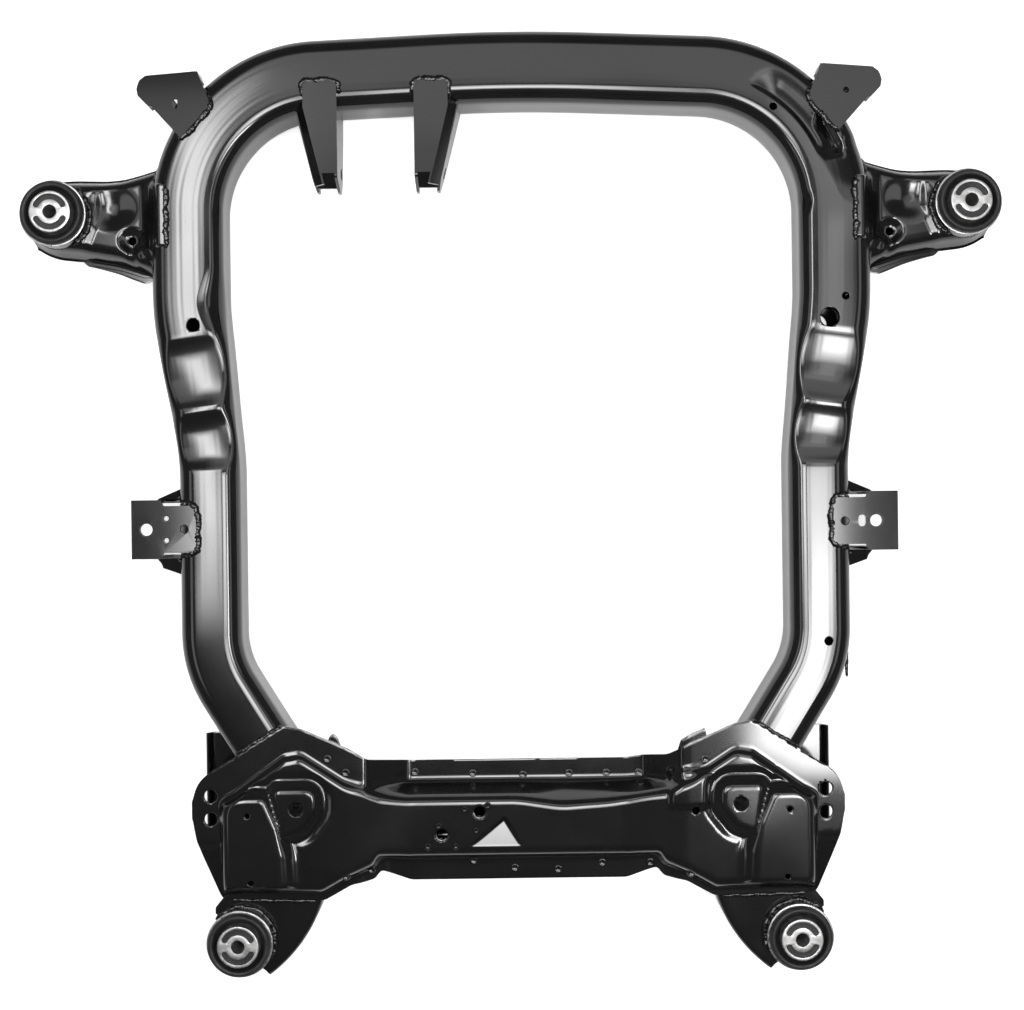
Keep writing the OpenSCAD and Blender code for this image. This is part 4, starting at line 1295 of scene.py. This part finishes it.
def bead(path, r, seed):
    """Weld bead along a path: uneven width, crescent ripples and tapered ends."""
    points, s = resampled(path, bead_step)
    turns = s * 2 * np.pi
    rng = np.random.default_rng(seed)
    slow = sum(np.sin(turns / wave + rng.uniform(0, 6.3)) for wave in (37, 17, 11, 7)) / 4
    ripple = np.sin(turns / ripple_pitch + 1.6 * slow)
    width = r * (1 + 0.3 * slow + 0.05 * ripple)
    width = width * (0.35 + 0.65 * ease(0, 1.6 * r, np.minimum(s, s[-1] - s)))
    along = unit(np.gradient(points, axis=0))
    side = unit(np.cross(along, [0.02, 0.03, 1.0]))
    up = np.cross(side, along)
    points = points + side * (0.18 * r * np.sin(turns / sway_pitch + seed))[:, None]
    a = np.linspace(0, 2 * np.pi, bead_sides, endpoint=False)
    lumps = 1 + 0.16 * rng.normal(size=(len(points), bead_sides))
    lumps = (lumps + np.roll(lumps, 1, axis=0) + np.roll(lumps, 1, axis=1)) / 3
    ring = (points[:, None] + side[:, None] * (width[:, None] * lumps * np.cos(a))[..., None]
            + up[:, None] * (0.8 * width[:, None] * lumps * np.sin(a))[..., None]
            + along[:, None] * (0.55 * r * np.sin(a))[None, :, None])
    return ring.reshape(-1, 3), capped(len(points), bead_sides)


def arc_path(x, y, z, start, end):
    """Path round the foot of a mount's sleeve."""
    plan = polar(sleeve_d / 2 + 1, np.radians(np.linspace(start, end, 40))) + [x, y]
    return np.column_stack([plan, np.full(len(plan), z)])


def gusset_weld():
    """Path across the tail, over the tube's upper side."""
    u = np.linspace(-27.5, 27.5, 40)
    edge = np.clip(np.abs(u) - (rail_wide / 2 - tube_corner_r), 0, tube_corner_r - 0.1)
    z = tube_top - tube_corner_r + np.sqrt(tube_corner_r ** 2 - edge ** 2)
    return np.column_stack([tail_mouth + tail_side * u[:, None] - tail_dir * 1.2, z + 1.6])


def arm_welds():
    """Paths of an arm's welds on the tube: across the tongue, and down its rear and front walls."""
    x_side = rail_front + tube_wide / 2 + 0.6
    tongue = [(arm_root - 1, dy, lap_z + 0.8) for dy in np.linspace(-38, 24, 30)]
    rear = [(x_side, *p) for p in ((-68, arm_seam_z), (-64, 42), (-56, 50), (-50, arm_z), (-44, 64))]
    front = [(x_side - 4.5, *p) for p in ((30, 66), (40, arm_z + 1), (45, 52), (49, 42), (51, arm_seam_z))]
    return [np.array(path) + [0, front_y, 0] for path in (tongue, rear, front)]


def rear_seam():
    x = np.linspace(207, half_w - 34, 40)
    return np.column_stack([x, lookup(rear_outline, x, 2.5) - 1.6, np.full_like(x, bracket_top + 1.0)])


corner_seam = [(-3, -23, -1.0), (-9.4, -21, 0.4), (-6.4, 21.8, 0.8), (-2, 25.4, 0.4), (4, 28, -0.8)]
engine_seam = [
    (-1.4, 11, -1.6), (-1.4, 18, 0.4), (-1.2, 27.4, 0.9), (35.2, 27.4, 0.9), (35.4, 18, 0.4),
    (35.4, 11, -1.6)]
arm_plate_seam = [
    (-4, -24.8, -0.6), (-15, -24.8, 0.8), (-20.4, -19.5, 0.9), (-20.4, 19.5, 0.9), (-15, 24.8, 0.8),
    (-4, 24.8, -0.6)]
arm_wall_seam = [(1.2, 30.4, z) for z in (-18, -30, -44, -58)]
rail_seam = [(arm_plate_x + 0.8, y, 46) for y in np.linspace(beam_y + 140, beam_y + 212, 20)]

bead_r = {
    "welds_front": 3.2, "welds_mounts": 2.8, "welds_brackets": 3.2, "welds_crossmember": 2.0,
    "welds_rail": 1.6}
weld_paths = {name: [] for name in bead_r}
weld_paths["welds_rail"].append(rail_seam)
for s in SIDES.values():
    flip = [s, 1, 1]
    weld_paths["welds_front"] += [*[path * flip for path in arm_welds()], corner_place(s)(corner_seam)]
    weld_paths["welds_mounts"] += [
        arc_path(front_x, front_y, arm_z + seat_rise + 0.8, 122, 240) * flip,
        arc_path(rear_x, rear_y, bracket_top + 1.2, 40, 224) * flip]
    weld_paths["welds_brackets"] += [
        engine_place(s)(engine_seam), arm_place(s)(arm_plate_seam),
        *[arm_place(s)(np.array(arm_wall_seam) * [1, k, 1]) for k in (-1, 1)]]
    weld_paths["welds_crossmember"] += [gusset_weld() * flip, rear_seam() * flip]
for number, (name, paths) in enumerate(weld_paths.items()):
    beads = [bead(path, bead_r[name], 10 * number + i) for i, path in enumerate(paths)]
    piece(name, joined(beads), weld, crease=60)


# Spot welds on the crossmember's flanges, and the marks of the nuts' projection welds
front_spots = [
    (-190, -254), (-172, -268), (-105, -274), (-46, -276), (5, -278), (52, -277), (90, -277), (123, -277),
    (187, -259)]
rear_spots = [
    (-173, -371), (-150, -371), (-46, -365), (-4, -373), (40, -375), (85, -369), (134, -369), (172, -373)]
spot_profile = [(4.6, -1.0), (4.2, 0.1), (3.6, 0.6), (2.9, 0.75), (2.2, 0.35), (1.5, 0.1), (0.4, 0.05)]
dot_profile = [(4.1, -1.0), (3.8, 0.1), (3.3, 0.6), (2.7, 0.85), (2.0, 0.45), (1.3, 0.05), (0.4, -0.1)]
nut_marks = [[(-3, 9), (-14, -11.5), (14, -11.5)], [(-14.7, 3.3), (8.2, 6.5), (-3.3, -18)]]


def on_crossmember(x, y):
    """Point of the upper stamping's face above a place."""
    flat = upper_face.reshape(-1, 3)
    near = np.argsort(np.hypot(flat[:, 0] - x, flat[:, 1] - y))[:4]
    return np.array([x, y, flat[near, 2].mean()])


spots = [lathe(spot_profile, 24, on_crossmember(x, y)) for x, y in front_spots + rear_spots]
for p, marks in zip(beam_nuts, nut_marks):
    spots += [lathe(dot_profile, 24, on_crossmember(p[0] + dx, p[1] + dy)) for dx, dy in marks]
piece("spot_welds", joined(spots), paint, crease=50)


# Stage, light and camera
lamp_z = 1.75
floor_r = 4.0
cove_r = 1.5
wall_top = 3.2
floor_steps = 64
room_light = 0.09
floor_glow = 0.72
floor_colour = (0.82, 0.82, 0.82, 1)


def floor_material():
    """Pale floor that the camera sees near white, and that still takes shadows."""
    material, nodes, links, bsdf = shader("studio_floor")
    set_inputs(bsdf, {"Base Color": floor_colour, "Roughness": 0.9, "Emission Color": (1, 1, 1, 1)})
    path = nodes.new("ShaderNodeLightPath")
    level = nodes.new("ShaderNodeMath")
    level.operation = "MULTIPLY"
    level.inputs[1].default_value = floor_glow
    links.new(path.outputs["Is Camera Ray"], level.inputs[0])
    links.new(level.outputs[0], bsdf.inputs["Emission Strength"])
    return material


def studio():
    """Pale bowl of floor and wall, with dim light from above it."""
    turns = np.linspace(0.1, np.pi / 2, 10)
    cove = [(floor_r + cove_r * math.sin(t), cove_r - cove_r * math.cos(t)) for t in turns]
    profile = [(0.0005, 0), (floor_r / 2, 0), (floor_r, 0), *cove, (floor_r + cove_r, wall_top)]
    points, _ = lathe(profile, floor_steps)
    mesh = bpy.data.meshes.new("studio_floor")
    mesh.from_pydata(points.tolist(), [], quads(len(profile), floor_steps, wrap=True).tolist())
    mesh.shade_smooth()
    mesh.materials.append(floor_material())
    place_object("studio_floor", mesh)
    world = bpy.data.worlds.new("dim_room")
    world.use_nodes = True
    set_inputs(world.node_tree.nodes["Background"], {"Color": (1, 1, 1, 1), "Strength": room_light})
    bpy.context.scene.world = world


def softbox(name, core, outer, radiance, turn=0.0, lift=0.0, layers=4):
    """Lamp that faces straight down and fades from its core to its outer rectangle (x, y, x, y)."""
    for layer in range(layers):
        x0, y0, x1, y1 = mix(np.array(core), np.array(outer), layer / max(1, layers - 1))
        lamp = bpy.data.lights.new(f"{name}_{layer}", "AREA")
        lamp.shape = "RECTANGLE"
        lamp.size, lamp.size_y = x1 - x0, y1 - y0
        lamp.energy = radiance / layers * math.pi * lamp.size * lamp.size_y
        obj = place_object(lamp.name, lamp)
        obj.location = ((x0 + x1) / 2, (y0 + y1) / 2, lamp_z + lift - 0.001 * layer)
        obj.rotation_euler = (0, 0, math.radians(turn))


studio()
softbox("middle_box", (-0.12, -0.12, 0.12, 0.12), (-0.36, -0.36, 0.36, 0.36), 13, lift=0.05, layers=3)
softbox("left_strip", (-0.67, -0.06, -0.57, 0.72), (-0.77, -0.26, -0.47, 0.92), 13, turn=3.0, layers=5)
softbox("right_strip", (0.50, -0.52, 0.69, -0.14), (0.45, -0.57, 0.74, 0.20), 21, turn=-3.5, layers=5)
softbox("right_fill", (0.56, 0.22, 0.72, 0.58), (0.48, 0.06, 0.80, 0.74), 3.0, layers=2)
softbox("front_card", (-0.62, 0.74, 1.04, 1.18), (-0.72, 0.52, 1.14, 1.42), 1.15, lift=0.02, layers=3)
softbox("left_card", (-1.12, 0.36, -0.74, 1.08), (-1.16, 0.30, -0.70, 1.14), 0.9, lift=0.02, layers=1)
softbox("left_side", (-2.1, -0.8, -1.4, 0.8), (-2.1, -0.8, -1.4, 0.8), 1.2, lift=0.2, layers=1)
softbox("right_side", (1.4, -0.8, 2.1, 0.8), (1.4, -0.8, 2.1, 0.8), 1.2, lift=0.2, layers=1)

lens = bpy.data.cameras.new("camera")
lens.sensor_width = 36
lens.lens = 58.0
camera = place_object("camera", lens)
camera.location = (-0.0025, -0.003, 1.734)
camera.rotation_euler = (0, 0, math.radians(-0.75))
bpy.context.scene.camera = camera
bpy.context.scene.view_settings.view_transform = "Standard"
